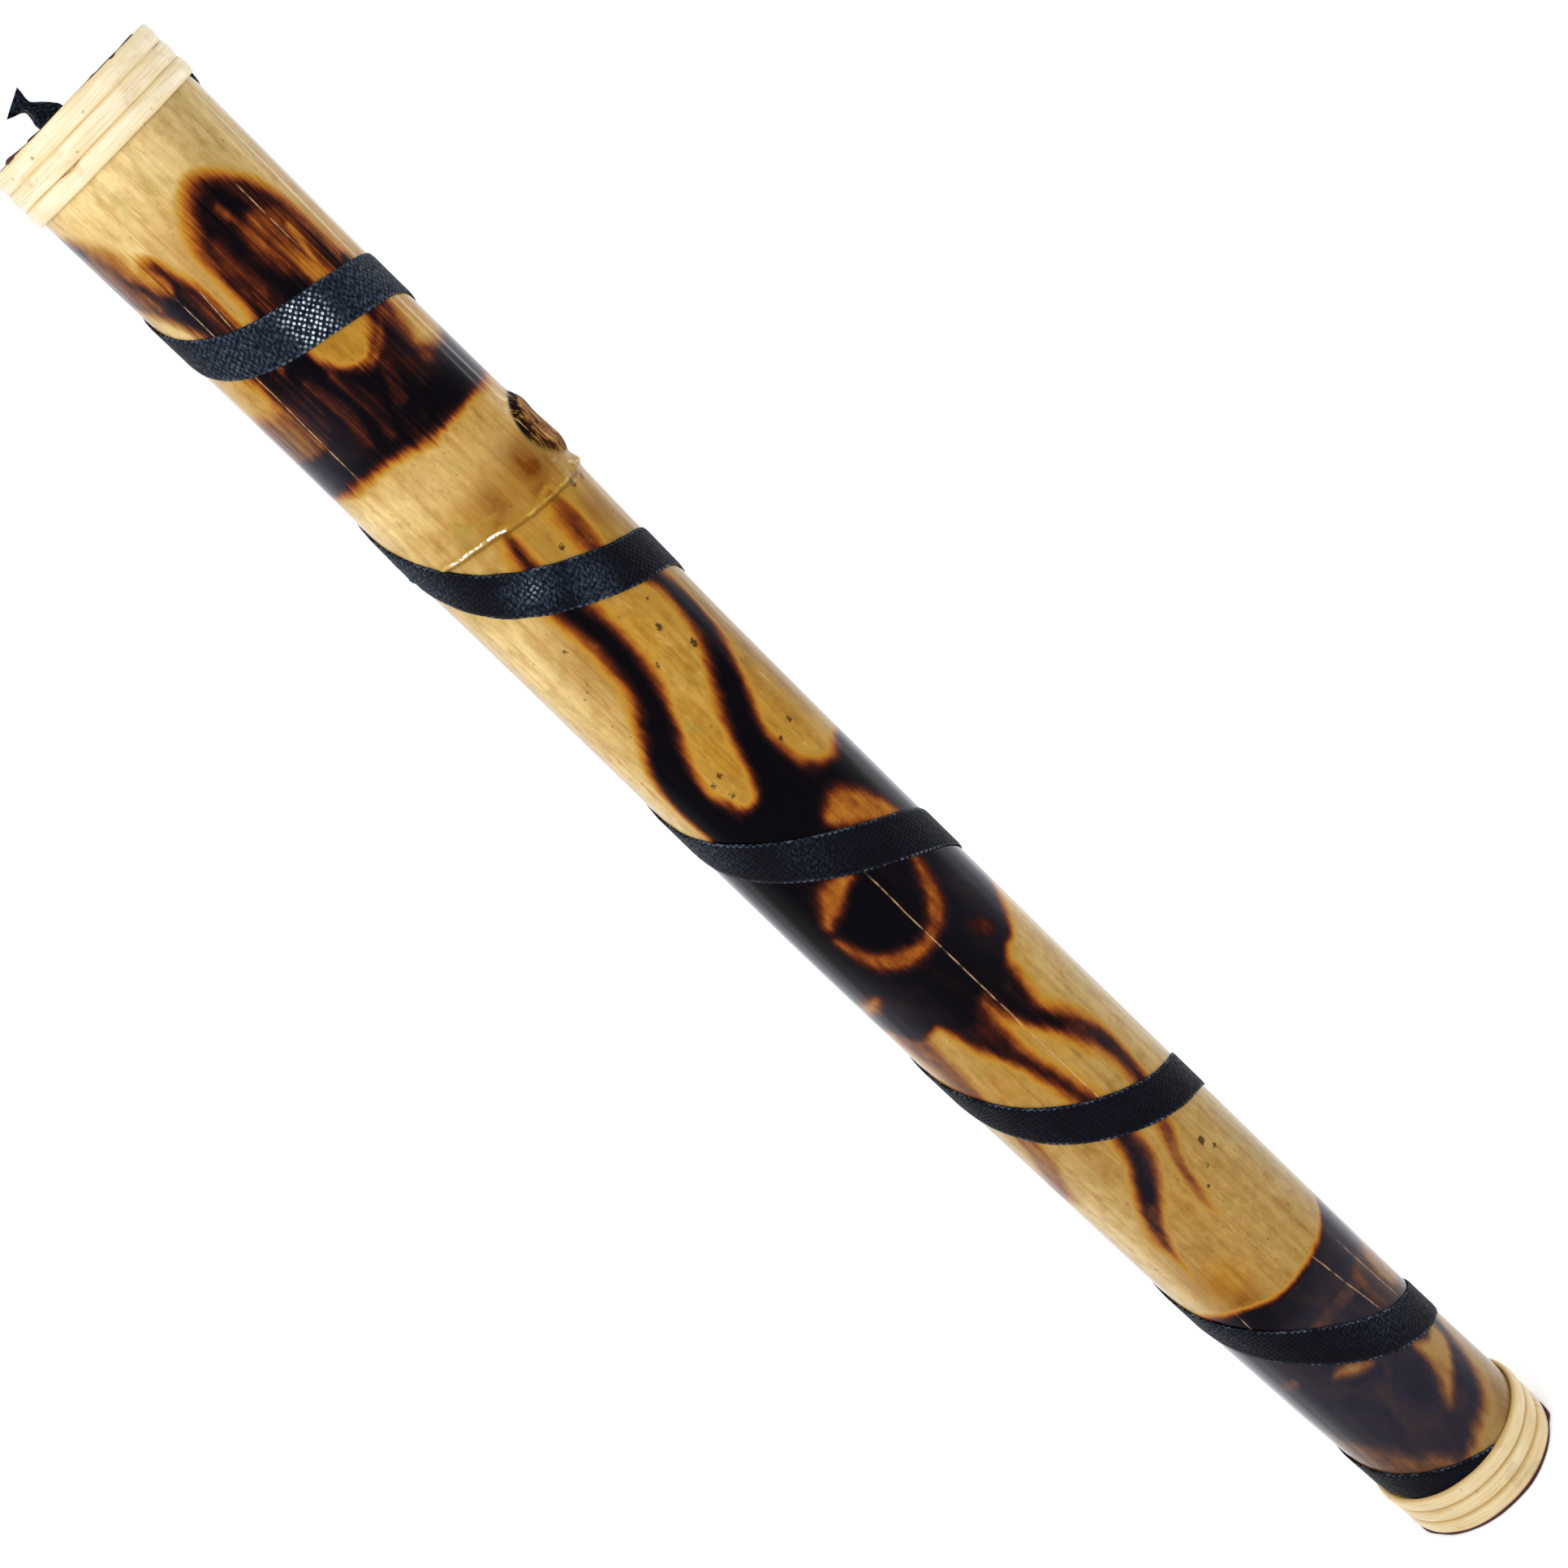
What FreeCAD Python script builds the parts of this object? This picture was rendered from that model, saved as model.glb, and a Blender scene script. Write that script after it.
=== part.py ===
import FreeCAD, Part
import math
import os
import Sketcher

# A rainstick: a hollow bamboo culm closed at both ends, bound with split rattan, with rows of
# cross pins driven through its wall along a spiral, a woven tape glued over the pin heads, and
# loose grains that run down between the pins when the stick is turned over.
#
# Frame: the stick stands upright on its base disc, +Z along the stick, origin at the centre of
# the base. Azimuths are measured about Z from -Y towards +X.

V = FreeCAD.Vector
Z_AXIS = V(0, 0, 1)
doc = FreeCAD.newDocument("Rainstick")
sheet = doc.addObject("Spreadsheet::Sheet", "Sizes")

SIZES = [
    ("total_length", 500.0, "over both end discs"),
    ("disc_thickness", 0.8, "leatherette end disc"),
    ("disc_radius", 23.7, "end disc, level with the crest of the rattan"),
    ("bore_radius", 20.0, "hollow inside of the culm"),
    ("node_height", 371.5, "middle of the culm's one node"),
    ("ledge_radius", 19.0, "what is left of the diaphragm inside the node"),
    ("ledge_height", 2.5, "thickness of that remainder"),
    ("scar_ring_height", 370.6, "middle of the sheath scar, a thin ridge round the node"),
    ("scar_ring_radius", 22.3, "sheath scar"),
    ("scar_ring_wire", 1.0, "radius of the ridge's section"),
    ("scar_ring_tilt", 11.0, "degrees, the ridge runs lower on the +X side"),
    ("scar_ring_start", -43.0, "azimuth where the ridge starts, beside the tape"),
    ("scar_ring_sweep", 304.0, "degrees, the ridge is sanded off under the tape"),
    ("bud_height", 379.5, "middle of the branch scar"),
    ("bud_azimuth", 80.0, "side of the culm the branch grew on"),
    ("bud_radius", 8.8, "cut stub of the branch"),
    ("bud_root", 19.6, "distance of the stub's root from the axis"),
    ("bud_reach", 4.0, "length of the stub from its root"),
    ("bud_rounding", 0.7, "worn rim of the stub"),
    ("plug_radius", 19.7, "wooden stopper"),
    ("plug_thickness", 12.0, "wooden stopper"),
    ("plug_chamfer", 0.8, "eased inner rim of the stopper"),
    ("head_band_radius", 22.95, "inside of the head's rattan"),
    ("base_band_radius", 22.35, "inside of the base's rattan"),
    ("band_shoulder", 0.35, "height of a rattan split's square edge"),
    ("lifted_shoulder", 0.75, "the same on the innermost split, which rides over the tape"),
    ("scarf_gap", 0.25, "slit where the two ends of a split meet"),
    ("scarf_slant", 7.0, "how far the slit leans round the ring"),
    ("strap_width", 11.2, "woven tape"),
    ("strap_thickness", 0.45, "woven tape"),
    ("strap_glue", 0.15, "glue line between tape and culm"),
    ("strap_top", 489.0, "cut end of the tape under the innermost head band"),
    ("strap_bottom", 13.2, "cut end of the tape under the innermost base band"),
    ("relief_clearance", 0.15, "room round the tape in the bands it passes under"),
    ("pin_radius", 1.1, "bamboo cross pin"),
    ("pin_sink", 0.35, "pin head below the culm's surface"),
    ("pin_reach", 10.5, "how far a pin goes beyond the axis"),
    ("pin_hole_radius", 1.13, "drilled hole"),
    ("axis_shift", -1.3, "x of the straight axis that pins and grains are set out on"),
    ("grain_radius", 2.2, "small round pebble"),
    ("grain_pitch", 4.45, "spacing of the pebbles lying on each other"),
    ("grain_circle", 15.5, "distance of the falling grains from the axis"),
    ("grain_lift", 0.3, "clearance of the lowest grain over the stopper"),
    ("tail_width", 7.4, "woven tape tail"),
    ("tail_thickness", 0.8, "woven tape tail"),
    ("tail_x", -5.0, "where the tail leaves the head disc"),
    ("tail_root", 4.0, "length of the tail glued into the stopper"),
    ("tail_slot_room", 0.4, "slot in disc and stopper, wider than the tail"),
    ("drill_reach", 8.0, "depth of the pin drillings from outside the wall"),
    ("plate_shift", 0.0, "discs and stoppers are centred on the stick's axis"),
    ("foot_height", 0.0, "underside of the base disc"),
]

# The culm's outside, base first: height, radius and sideways shift of the section's centre.
# It grew with a slight bow towards -X and swells at the node.
CULM_SECTIONS = [
    (0.8, 22.0, 0.0),
    (16.0, 22.1, -0.2),
    (30.0, 22.15, -0.6),
    (50.0, 22.35, -1.3),
    (80.0, 22.65, -1.9),
    (110.0, 22.8, -2.2),
    (150.0, 22.8, -2.45),
    (200.0, 22.8, -2.7),
    (240.0, 22.8, -2.7),
    (280.0, 22.65, -2.4),
    (315.0, 22.55, -2.0),
    (345.0, 22.65, -1.45),
    (362.0, 22.85, -1.1),
    (374.0, 23.1, -0.9),
    (386.0, 22.85, -0.75),
    (405.0, 22.6, -0.6),
    (435.0, 22.45, -0.45),
    (465.0, 22.65, -0.25),
    (486.0, 22.75, -0.1),
    (499.2, 22.75, 0.0),
]

# Centre line of the hand-wound tape: running azimuth in degrees, height.
STRAP_KNOTS = [
    (-300, 497.0), (-270, 491.0), (-180, 470.5), (-90, 449.0), (-30, 437.6), (30, 431.6),
    (90, 424.9), (180, 405.0), (270, 382.2), (330, 360.8), (390, 346.4), (450, 336.8),
    (540, 312.5), (630, 286.2), (690, 270.3), (750, 253.7), (810, 238.0), (900, 215.5),
    (990, 191.6), (1050, 171.8), (1110, 156.1), (1170, 144.8), (1260, 121.5), (1350, 98.3),
    (1410, 80.5), (1470, 60.8), (1530, 49.5), (1620, 38.5), (1710, 26.6), (1770, 18.0),
    (1830, 8.0), (1860, 4.0),
]

# Rattan bands, outermost first: lower edge, upper edge, crest thickness.
HEAD_BANDS = [(495.2, 499.2, 0.9), (490.4, 495.1, 1.0), (486.0, 490.3, 1.2)]
BASE_BANDS = [(0.8, 5.6, 1.15), (5.7, 10.7, 1.25), (10.8, 15.8, 1.6)]

# Each ring is turned so that its joint, and for the innermost ring the relief over the tape,
# faces the right way: azimuth of the ring's own +X side. The relief is on its -X side.
HEAD_TURNS = [200.0, 325.0, 285.0]
BASE_TURNS = [250.0, 150.0, 170.0]
RELIEF_SPANS = {"head": 76.0, "base": 98.0}

PINS_PER_TURN = 12
FIRST_PIN = -180
PIN_TURNS = 5
GRAIN_GROUPS = 6
GRAINS_PER_STACK = 7


def fill_sheet(rows):
    """Write name, value and note of every driving size, one row each."""
    for row, (alias, value, note) in enumerate(rows, start=1):
        sheet.set(f"A{row}", alias.replace("_", " "))
        sheet.set(f"B{row}", str(value))
        sheet.setAlias(f"B{row}", alias)
        sheet.set(f"C{row}", note)
    doc.recompute()


def section_rows():
    rows = []
    for i, (height, radius, shift) in enumerate(CULM_SECTIONS, start=1):
        rows.append((f"section_{i}_height", height, "culm section"))
        rows.append((f"section_{i}_radius", radius, "culm section"))
        rows.append((f"section_{i}_shift", shift, "culm section"))
    return rows


def band_rows():
    rows = []
    for end, bands in (("head", HEAD_BANDS), ("base", BASE_BANDS)):
        for i, (low, high, crest) in enumerate(bands, start=1):
            rows.append((f"{end}_band_{i}_low", low, "rattan band, lower edge"))
            rows.append((f"{end}_band_{i}_high", high, "rattan band, upper edge"))
            rows.append((f"{end}_band_{i}_crest", crest, "rattan band, thickness"))
    return rows


def knot_rows():
    rows = []
    for i, (azimuth, height) in enumerate(STRAP_KNOTS, start=1):
        rows.append((f"knot_{i}_azimuth", azimuth, "tape centre line"))
        rows.append((f"knot_{i}_height", height, "tape centre line"))
    return rows


fill_sheet(SIZES + section_rows() + band_rows() + knot_rows())


def size(alias):
    return float(sheet.get(alias))


def between(knots, x):
    """Value at x on the straight runs through (x, value) knots."""
    last = len(knots) - 1
    i = max([k for k in range(last) if knots[k][0] <= x], default=0)
    start = knots[i]
    end = knots[i + 1]
    f = min(max((x - start[0]) / (end[0] - start[0]), 0.0), 1.0)
    return start[1] + f * (end[1] - start[1])


def smooth(knots, x):
    """Value at x of a smooth curve through (x, value) knots, with chord-based slopes."""
    last = len(knots) - 1
    if x <= knots[0][0]:
        return knots[0][1]
    if x >= knots[last][0]:
        return knots[last][1]
    i = max(k for k in range(last) if knots[k][0] <= x)
    before = knots[max(i - 1, 0)]
    start = knots[i]
    end = knots[i + 1]
    after = knots[min(i + 2, last)]
    step = end[0] - start[0]
    slope_in = (end[1] - before[1]) / (end[0] - before[0]) * step
    slope_out = (after[1] - start[1]) / (after[0] - start[0]) * step
    f = (x - start[0]) / step
    return (
        start[1] * (1 + 2 * f) * (1 - f) ** 2
        + slope_in * f * (1 - f) ** 2
        + end[1] * f * f * (3 - 2 * f)
        + slope_out * f * f * (f - 1)
    )


SECTIONS = range(1, len(CULM_SECTIONS) + 1)
RADII = [(size(f"section_{i}_height"), size(f"section_{i}_radius")) for i in SECTIONS]
SHIFTS = [(size(f"section_{i}_height"), size(f"section_{i}_shift")) for i in SECTIONS]
KNOTS = [
    (size(f"knot_{i}_azimuth"), size(f"knot_{i}_height")) for i in range(1, len(STRAP_KNOTS) + 1)
]


def on_culm(azimuth, height, lift):
    """Point at an azimuth and height, lifted off the culm's outer surface."""
    radius = between(RADII, height) + lift
    angle = math.radians(azimuth)
    return V(
        between(SHIFTS, height) + radius * math.sin(angle), -radius * math.cos(angle), height
    )


def turned(azimuth):
    """Rotation about Z that brings +X to the given azimuth."""
    return FreeCAD.Rotation(Z_AXIS, azimuth - 90.0)


def new_body(label):
    body = doc.addObject("PartDesign::Body", label)
    body.Label = label
    return body


def origin_plane(body, role):
    return next(f for f in body.Origin.OriginFeatures if f.Role == role)


def new_sketch(body, name, role):
    sketch = body.newObject("Sketcher::SketchObject", name)
    sketch.AttachmentSupport = [(origin_plane(body, role), "")]
    sketch.MapMode = "FlatFace"
    return sketch


def bind(sketch, constraint, expression):
    """Add a dimension to a sketch and drive it from the sheet."""
    index = sketch.addConstraint(constraint)
    sketch.setExpression(f"Constraints[{index}]", expression)


def add_circle(sketch, radius, shift):
    """Circle centred on the sketch's X axis; both sizes are expressions."""
    geo = sketch.addGeometry(Part.Circle(V(0, 0, 0), Z_AXIS, 20.0), False)
    sketch.addConstraint(Sketcher.Constraint("PointOnObject", geo, 3, -1))
    bind(sketch, Sketcher.Constraint("Radius", geo, 20.0), radius)
    bind(sketch, Sketcher.Constraint("DistanceX", -1, 1, geo, 3, 0.0), shift)


def add_polygon(sketch, corners):
    """Closed straight outline whose corners are pairs of expressions."""
    points = []
    for pair in corners:
        points.append(V(*[evaluate(text) for text in pair], 0))
    first = None
    for i, point in enumerate(points):
        geo = sketch.addGeometry(Part.LineSegment(point, points[(i + 1) % len(points)]), False)
        first = geo if first is None else first
    last = first + len(points) - 1
    for i in range(len(points)):
        geo = first + i
        after = first if geo == last else geo + 1
        sketch.addConstraint(Sketcher.Constraint("Coincident", geo, 2, after, 1))
    for i, (across, up) in enumerate(corners):
        geo = first + i
        bind(sketch, Sketcher.Constraint("DistanceX", -1, 1, geo, 1, points[i].x), across)
        bind(sketch, Sketcher.Constraint("DistanceY", -1, 1, geo, 1, points[i].y), up)


def evaluate(expression):
    return float(sheet.evalExpression(expression.replace("Sizes.", "")))


# ---------------------------------------------------------------- culm

culm_body = new_body("culm_wall")
wall_sections = []
bore_sections = []
for i in SECTIONS:
    for kind, sections in (("wall", wall_sections), ("bore", bore_sections)):
        section = new_sketch(culm_body, f"{kind}_{i}", "XY_Plane")
        section.setExpression(".AttachmentOffset.Base.z", f"Sizes.section_{i}_height")
        radius = f"Sizes.section_{i}_radius" if kind == "wall" else "Sizes.bore_radius"
        add_circle(section, radius, f"Sizes.section_{i}_shift")
        sections.append(section)
doc.recompute()

wall = culm_body.newObject("PartDesign::AdditiveLoft", "wall_loft")
wall.Profile = wall_sections[0]
wall.Sections = wall_sections[1:]
wall.Ruled = True
doc.recompute()
solid_volume = wall.Shape.Volume

bore = culm_body.newObject("PartDesign::SubtractiveLoft", "bore_loft")
bore.Profile = bore_sections[0]
bore.Sections = bore_sections[1:]
bore.Ruled = True
doc.recompute()
assert bore.Shape.Volume < 0.5 * solid_volume

ledge_sketch = new_sketch(culm_body, "ledge_outline", "XY_Plane")
ledge_sketch.setExpression(".AttachmentOffset.Base.z", "Sizes.node_height")
add_circle(ledge_sketch, "Sizes.bore_radius + 0.6", "Sizes.section_14_shift")
add_circle(ledge_sketch, "Sizes.ledge_radius", "Sizes.section_14_shift")
doc.recompute()
ledge = culm_body.newObject("PartDesign::Pad", "diaphragm_ledge")
ledge.Profile = ledge_sketch
ledge.setExpression("Length", "Sizes.ledge_height")
doc.recompute()

bud_sketch = new_sketch(culm_body, "bud_outline", "YZ_Plane")
bud_turn = FreeCAD.Rotation(V(0, 1, 0), size("bud_azimuth") - 90.0)
bud_sketch.AttachmentOffset = FreeCAD.Placement(
    bud_turn.multVec(V(0, 0, size("bud_root"))), bud_turn
)
bud_circle = bud_sketch.addGeometry(Part.Circle(V(0, 380, 0), Z_AXIS, 9.0), False)
bud_sketch.addConstraint(Sketcher.Constraint("PointOnObject", bud_circle, 3, -2))
bind(bud_sketch, Sketcher.Constraint("Radius", bud_circle, 9.0), "Sizes.bud_radius")
bind(
    bud_sketch,
    Sketcher.Constraint("DistanceY", -1, 1, bud_circle, 3, 380.0),
    "Sizes.bud_height",
)
doc.recompute()
bud = culm_body.newObject("PartDesign::Pad", "branch_stub")
bud.Profile = bud_sketch
bud.setExpression("Length", "Sizes.bud_reach")
doc.recompute()
assert bud.Shape.Volume > ledge.Shape.Volume

rim = [
    f"Edge{n}"
    for n, edge in enumerate(bud.Shape.Edges, start=1)
    if edge.Curve.TypeId == "Part::GeomCircle"
    and abs(edge.Curve.Radius - size("bud_radius")) < 0.01
    and edge.Closed
]
worn_rim = culm_body.newObject("PartDesign::Fillet", "worn_stub_rim")
worn_rim.Base = (bud, rim)
worn_rim.setExpression("Radius", "Sizes.bud_rounding")
doc.recompute()

scar_ring = doc.addObject("Part::Torus", "sheath_scar")
scar_ring.setExpression("Radius1", "Sizes.scar_ring_radius")
scar_ring.setExpression("Radius2", "Sizes.scar_ring_wire")
scar_ring.setExpression("Angle3", "Sizes.scar_ring_sweep")
scar_ring.Placement = FreeCAD.Placement(
    V(between(SHIFTS, size("scar_ring_height")), 0, size("scar_ring_height")),
    FreeCAD.Rotation(V(0, 1, 0), size("scar_ring_tilt")) * turned(size("scar_ring_start") + 90.0)
    * FreeCAD.Rotation(Z_AXIS, -90.0),
)
ringed_culm = doc.addObject("Part::Fuse", "ringed_culm")
ringed_culm.Base = culm_body
ringed_culm.Tool = scar_ring

# ---------------------------------------------------------------- cross pins and their holes


def pin_start(azimuth, height):
    """Distance of the culm's outside from the straight setting-out axis."""
    offset = between(SHIFTS, height) - size("axis_shift")
    angle = math.radians(azimuth)
    radius = between(RADII, height)
    return offset * math.sin(angle) + math.sqrt(radius**2 - (offset * math.cos(angle)) ** 2)


def inward_rod(name, azimuth, height, start, radius_text, length_text):
    """Cylinder that begins at a distance from the axis and points at the axis."""
    angle = math.radians(azimuth)
    outward = V(math.sin(angle), -math.cos(angle), 0)
    rod = doc.addObject("Part::Cylinder", name)
    rod.setExpression("Radius", radius_text)
    rod.setExpression("Height", length_text)
    rod.Placement = FreeCAD.Placement(
        V(size("axis_shift"), 0, height) + outward * start,
        FreeCAD.Rotation(Z_AXIS, outward * -1),
    )
    return rod


drills = []
for turn in range(PIN_TURNS):
    pins = []
    for k in range(PINS_PER_TURN):
        running = FIRST_PIN + 360.0 * turn + 360.0 / PINS_PER_TURN * k
        height = smooth(KNOTS, running)
        outside = pin_start(running, height)
        start = outside - size("pin_sink")
        tag = f"{turn + 1}_{k + 1}"
        pins.append(
            inward_rod(
                f"pin_{tag}", running, height, start, "Sizes.pin_radius",
                f"{start:.4f} + Sizes.pin_reach",
            )
        )
        drills.append(
            inward_rod(
                f"drill_{tag}", running, height, outside + 2.0, "Sizes.pin_hole_radius",
                "Sizes.drill_reach",
            )
        )
    pin_row = doc.addObject("Part::Compound", f"pins_turn_{turn + 1}")
    pin_row.Label = f"pins_turn_{turn + 1}"
    pin_row.Links = pins

drill_set = doc.addObject("Part::Compound", "drill_set")
drill_set.Links = drills
culm = doc.addObject("Part::Cut", "culm")
culm.Label = "culm"
culm.Base = ringed_culm
culm.Tool = drill_set
doc.recompute()
assert culm.Shape.Volume < ringed_culm.Shape.Volume

# ---------------------------------------------------------------- rattan bands


def rattan_band(end, number, azimuth):
    """One split of rattan: flat inside, rounded outside, its slanted ends meeting in a slit."""
    label = f"{end}_rattan_band_{number}"
    body = new_body(label)
    low = f"Sizes.{end}_band_{number}_low"
    high = f"Sizes.{end}_band_{number}_high"
    inside = f"Sizes.{end}_band_radius"
    crest = f"{inside} + Sizes.{end}_band_{number}_crest"
    edge = "lifted_shoulder" if number == 3 else "band_shoulder"
    shoulder = f"{inside} + Sizes.{edge}"

    outline = new_sketch(body, f"{label}_outline", "XZ_Plane")
    corners = [(shoulder, low), (inside, low), (inside, high), (shoulder, high)]
    points = [V(evaluate(across), evaluate(up), 0) for across, up in corners]
    top = V(evaluate(crest), 0.5 * (evaluate(low) + evaluate(high)), 0)
    sides = [
        outline.addGeometry(Part.LineSegment(points[i], points[i + 1]), False) for i in range(3)
    ]
    back = outline.addGeometry(Part.Arc(points[3], top, points[0]), False)
    outline.addConstraint(Sketcher.Constraint("Coincident", sides[0], 2, sides[1], 1))
    outline.addConstraint(Sketcher.Constraint("Coincident", sides[1], 2, sides[2], 1))
    arc_at_high = 1 if outline.getPoint(back, 1).y > outline.getPoint(back, 2).y else 2
    outline.addConstraint(Sketcher.Constraint("Coincident", sides[2], 2, back, arc_at_high))
    outline.addConstraint(Sketcher.Constraint("Coincident", sides[0], 1, back, 3 - arc_at_high))
    for geo, (across, up), point in zip(
        (sides[0], sides[1], sides[2]), corners[:3], points[:3]
    ):
        bind(outline, Sketcher.Constraint("DistanceX", -1, 1, geo, 1, point.x), across)
        bind(outline, Sketcher.Constraint("DistanceY", -1, 1, geo, 1, point.y), up)
    bind(outline, Sketcher.Constraint("DistanceX", -1, 1, sides[2], 2, points[3].x), shoulder)
    outline.addConstraint(Sketcher.Constraint("Horizontal", sides[2]))
    half = f"(({high} - {low}) / 2)"
    rise = f"({crest} - ({shoulder}))"
    bind(
        outline,
        Sketcher.Constraint("Radius", back, 3.0),
        f"({half} * {half} + {rise} * {rise}) / (2 * {rise})",
    )
    doc.recompute()
    ring = body.newObject("PartDesign::Revolution", f"{label}_ring")
    ring.Profile = outline
    ring.ReferenceAxis = (outline, ["V_Axis"])
    ring.Angle = 360.0
    doc.recompute()
    volume = ring.Shape.Volume

    scarf = new_sketch(body, f"{label}_scarf", "XZ_Plane")
    gap = "Sizes.scarf_gap"
    lean = "Sizes.scarf_slant"
    add_polygon(
        scarf,
        [
            (f"0 - {lean} / 2", f"{low} - 1"),
            (f"{gap} - {lean} / 2", f"{low} - 1"),
            (f"{gap} + {lean} / 2", f"{high} + 1"),
            (f"{lean} / 2", f"{high} + 1"),
        ],
    )
    doc.recompute()
    slit = body.newObject("PartDesign::Pocket", f"{label}_slit")
    slit.Profile = scarf
    slit.Type = "Length"
    slit.Length = 40.0
    slit.Midplane = False
    doc.recompute()
    assert 0 < volume - slit.Shape.Volume < 8.0
    if number == 3:
        relieve_band(body, end, label, low, high)
    body.Placement = FreeCAD.Placement(V(0, 0, 0), turned(azimuth))
    return body


def relieve_band(body, end, label, low, high):
    """Thin the innermost band from inside over the stretch where the tape runs under it."""
    before = body.Shape.Volume
    nearest = 2 if end == "base" else len(CULM_SECTIONS) - 1
    depth = (
        f"Sizes.section_{nearest}_radius + Sizes.strap_glue + Sizes.strap_thickness"
        " + Sizes.relief_clearance"
    )
    if end == "base":
        floor = "Sizes.strap_bottom - Sizes.relief_clearance"
        ceiling = f"{high} + 1"
    else:
        floor = f"{low} - 1"
        ceiling = "Sizes.strap_top + Sizes.relief_clearance"
    window = new_sketch(body, f"{label}_relief_outline", "XZ_Plane")
    window.AttachmentOffset = FreeCAD.Placement(V(0, 0, 0), FreeCAD.Rotation(V(0, 1, 0), 180))
    add_polygon(
        window,
        [
            (f"Sizes.{end}_band_radius - 0.5", floor),
            (depth, floor),
            (depth, ceiling),
            (f"Sizes.{end}_band_radius - 0.5", ceiling),
        ],
    )
    doc.recompute()
    relief = body.newObject("PartDesign::Groove", f"{label}_relief")
    relief.Profile = window
    relief.ReferenceAxis = (window, ["V_Axis"])
    relief.Angle = RELIEF_SPANS[end]
    relief.Midplane = True
    doc.recompute()
    assert relief.Shape.Volume < before


bands = []
for end, turns in (("head", HEAD_TURNS), ("base", BASE_TURNS)):
    for number, azimuth in enumerate(turns, start=1):
        bands.append(rattan_band(end, number, azimuth))

# ---------------------------------------------------------------- stoppers and end discs


def round_plate(label, radius, height, thickness):
    """Flat disc; all three sizes are expressions."""
    body = new_body(label)
    outline = new_sketch(body, f"{label}_outline", "XY_Plane")
    outline.setExpression(".AttachmentOffset.Base.z", height)
    add_circle(outline, radius, "Sizes.plate_shift")
    doc.recompute()
    plate = body.newObject("PartDesign::Pad", f"{label}_plate")
    plate.Profile = outline
    plate.setExpression("Length", thickness)
    doc.recompute()
    return body


def cut_slot(body, height, depth):
    """Slot for the tail, cut downwards from a height; both sizes are expressions."""
    before = body.Shape.Volume
    slot = new_sketch(body, f"{body.Label}_slot_outline", "XY_Plane")
    slot.setExpression(".AttachmentOffset.Base.z", height)
    half = "(Sizes.tail_width + Sizes.tail_slot_room) / 2"
    side = "(Sizes.tail_thickness + Sizes.tail_slot_room) / 2"
    add_polygon(
        slot,
        [
            (f"Sizes.tail_x - {half}", f"0 - {side}"),
            (f"Sizes.tail_x + {half}", f"0 - {side}"),
            (f"Sizes.tail_x + {half}", side),
            (f"Sizes.tail_x - {half}", side),
        ],
    )
    doc.recompute()
    pocket = body.newObject("PartDesign::Pocket", f"{body.Label}_slot")
    pocket.Profile = slot
    pocket.Type = "Length"
    pocket.setExpression("Length", depth)
    doc.recompute()
    assert pocket.Shape.Volume < before


def ease_rim(body, height):
    """Chamfer the stopper's inner rim, the one at the given height."""
    plate = body.Tip
    rim = [
        f"Edge{n}"
        for n, edge in enumerate(plate.Shape.Edges, start=1)
        if edge.Closed and abs(edge.BoundBox.ZMin - height) < 0.01
    ]
    chamfer = body.newObject("PartDesign::Chamfer", f"{body.Label}_chamfer")
    chamfer.Base = (plate, rim)
    chamfer.setExpression("Size", "Sizes.plug_chamfer")
    doc.recompute()


base_disc = round_plate(
    "base_end_disc", "Sizes.disc_radius", "Sizes.foot_height", "Sizes.disc_thickness"
)
head_disc = round_plate(
    "head_end_disc", "Sizes.disc_radius", "Sizes.total_length - Sizes.disc_thickness",
    "Sizes.disc_thickness",
)
cut_slot(head_disc, "Sizes.total_length", "Sizes.disc_thickness")

base_plug = round_plate(
    "base_plug", "Sizes.plug_radius", "Sizes.disc_thickness", "Sizes.plug_thickness"
)
ease_rim(base_plug, size("disc_thickness") + size("plug_thickness"))
head_plug_low = "Sizes.total_length - Sizes.disc_thickness - Sizes.plug_thickness"
head_plug = round_plate(
    "head_plug", "Sizes.plug_radius", head_plug_low, "Sizes.plug_thickness"
)
ease_rim(head_plug, evaluate(head_plug_low))
cut_slot(
    head_plug, "Sizes.total_length - Sizes.disc_thickness", "Sizes.tail_root + Sizes.tail_slot_room"
)

# ---------------------------------------------------------------- woven tape


def strap_point(running, across, lift):
    """Point of the tape: running azimuth, -1..1 across its width, lift off the culm."""
    height = smooth(KNOTS, running)
    climb = (smooth(KNOTS, running + 4) - smooth(KNOTS, running - 4)) / math.radians(8)
    lean = math.sqrt(1 + (climb / between(RADII, height)) ** 2)
    height += across * 0.5 * size("strap_width") * lean
    return on_culm(running, height, lift)


def strap_face(lift):
    """Long curved face of the tape at a lift off the culm."""
    first = int(KNOTS[0][0])
    last = int(KNOTS[-1][0])
    rows = []
    for running in range(first, last + 1, 6):
        rows.append([strap_point(running, across / 3.0, lift) for across in range(-3, 4)])
    surface = Part.BSplineSurface()
    surface.interpolate(rows)
    return surface.toShape()


def side_edges(face):
    """The face's edges in the order start, far side, end, near side."""
    surface = face.Surface
    u0, u1, v0, v1 = surface.bounds()
    return [
        surface.uIso(u0).toShape(v0, v1),
        surface.vIso(v1).toShape(u0, u1),
        surface.uIso(u1).toShape(v0, v1),
        surface.vIso(v0).toShape(u0, u1),
    ]


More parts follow.
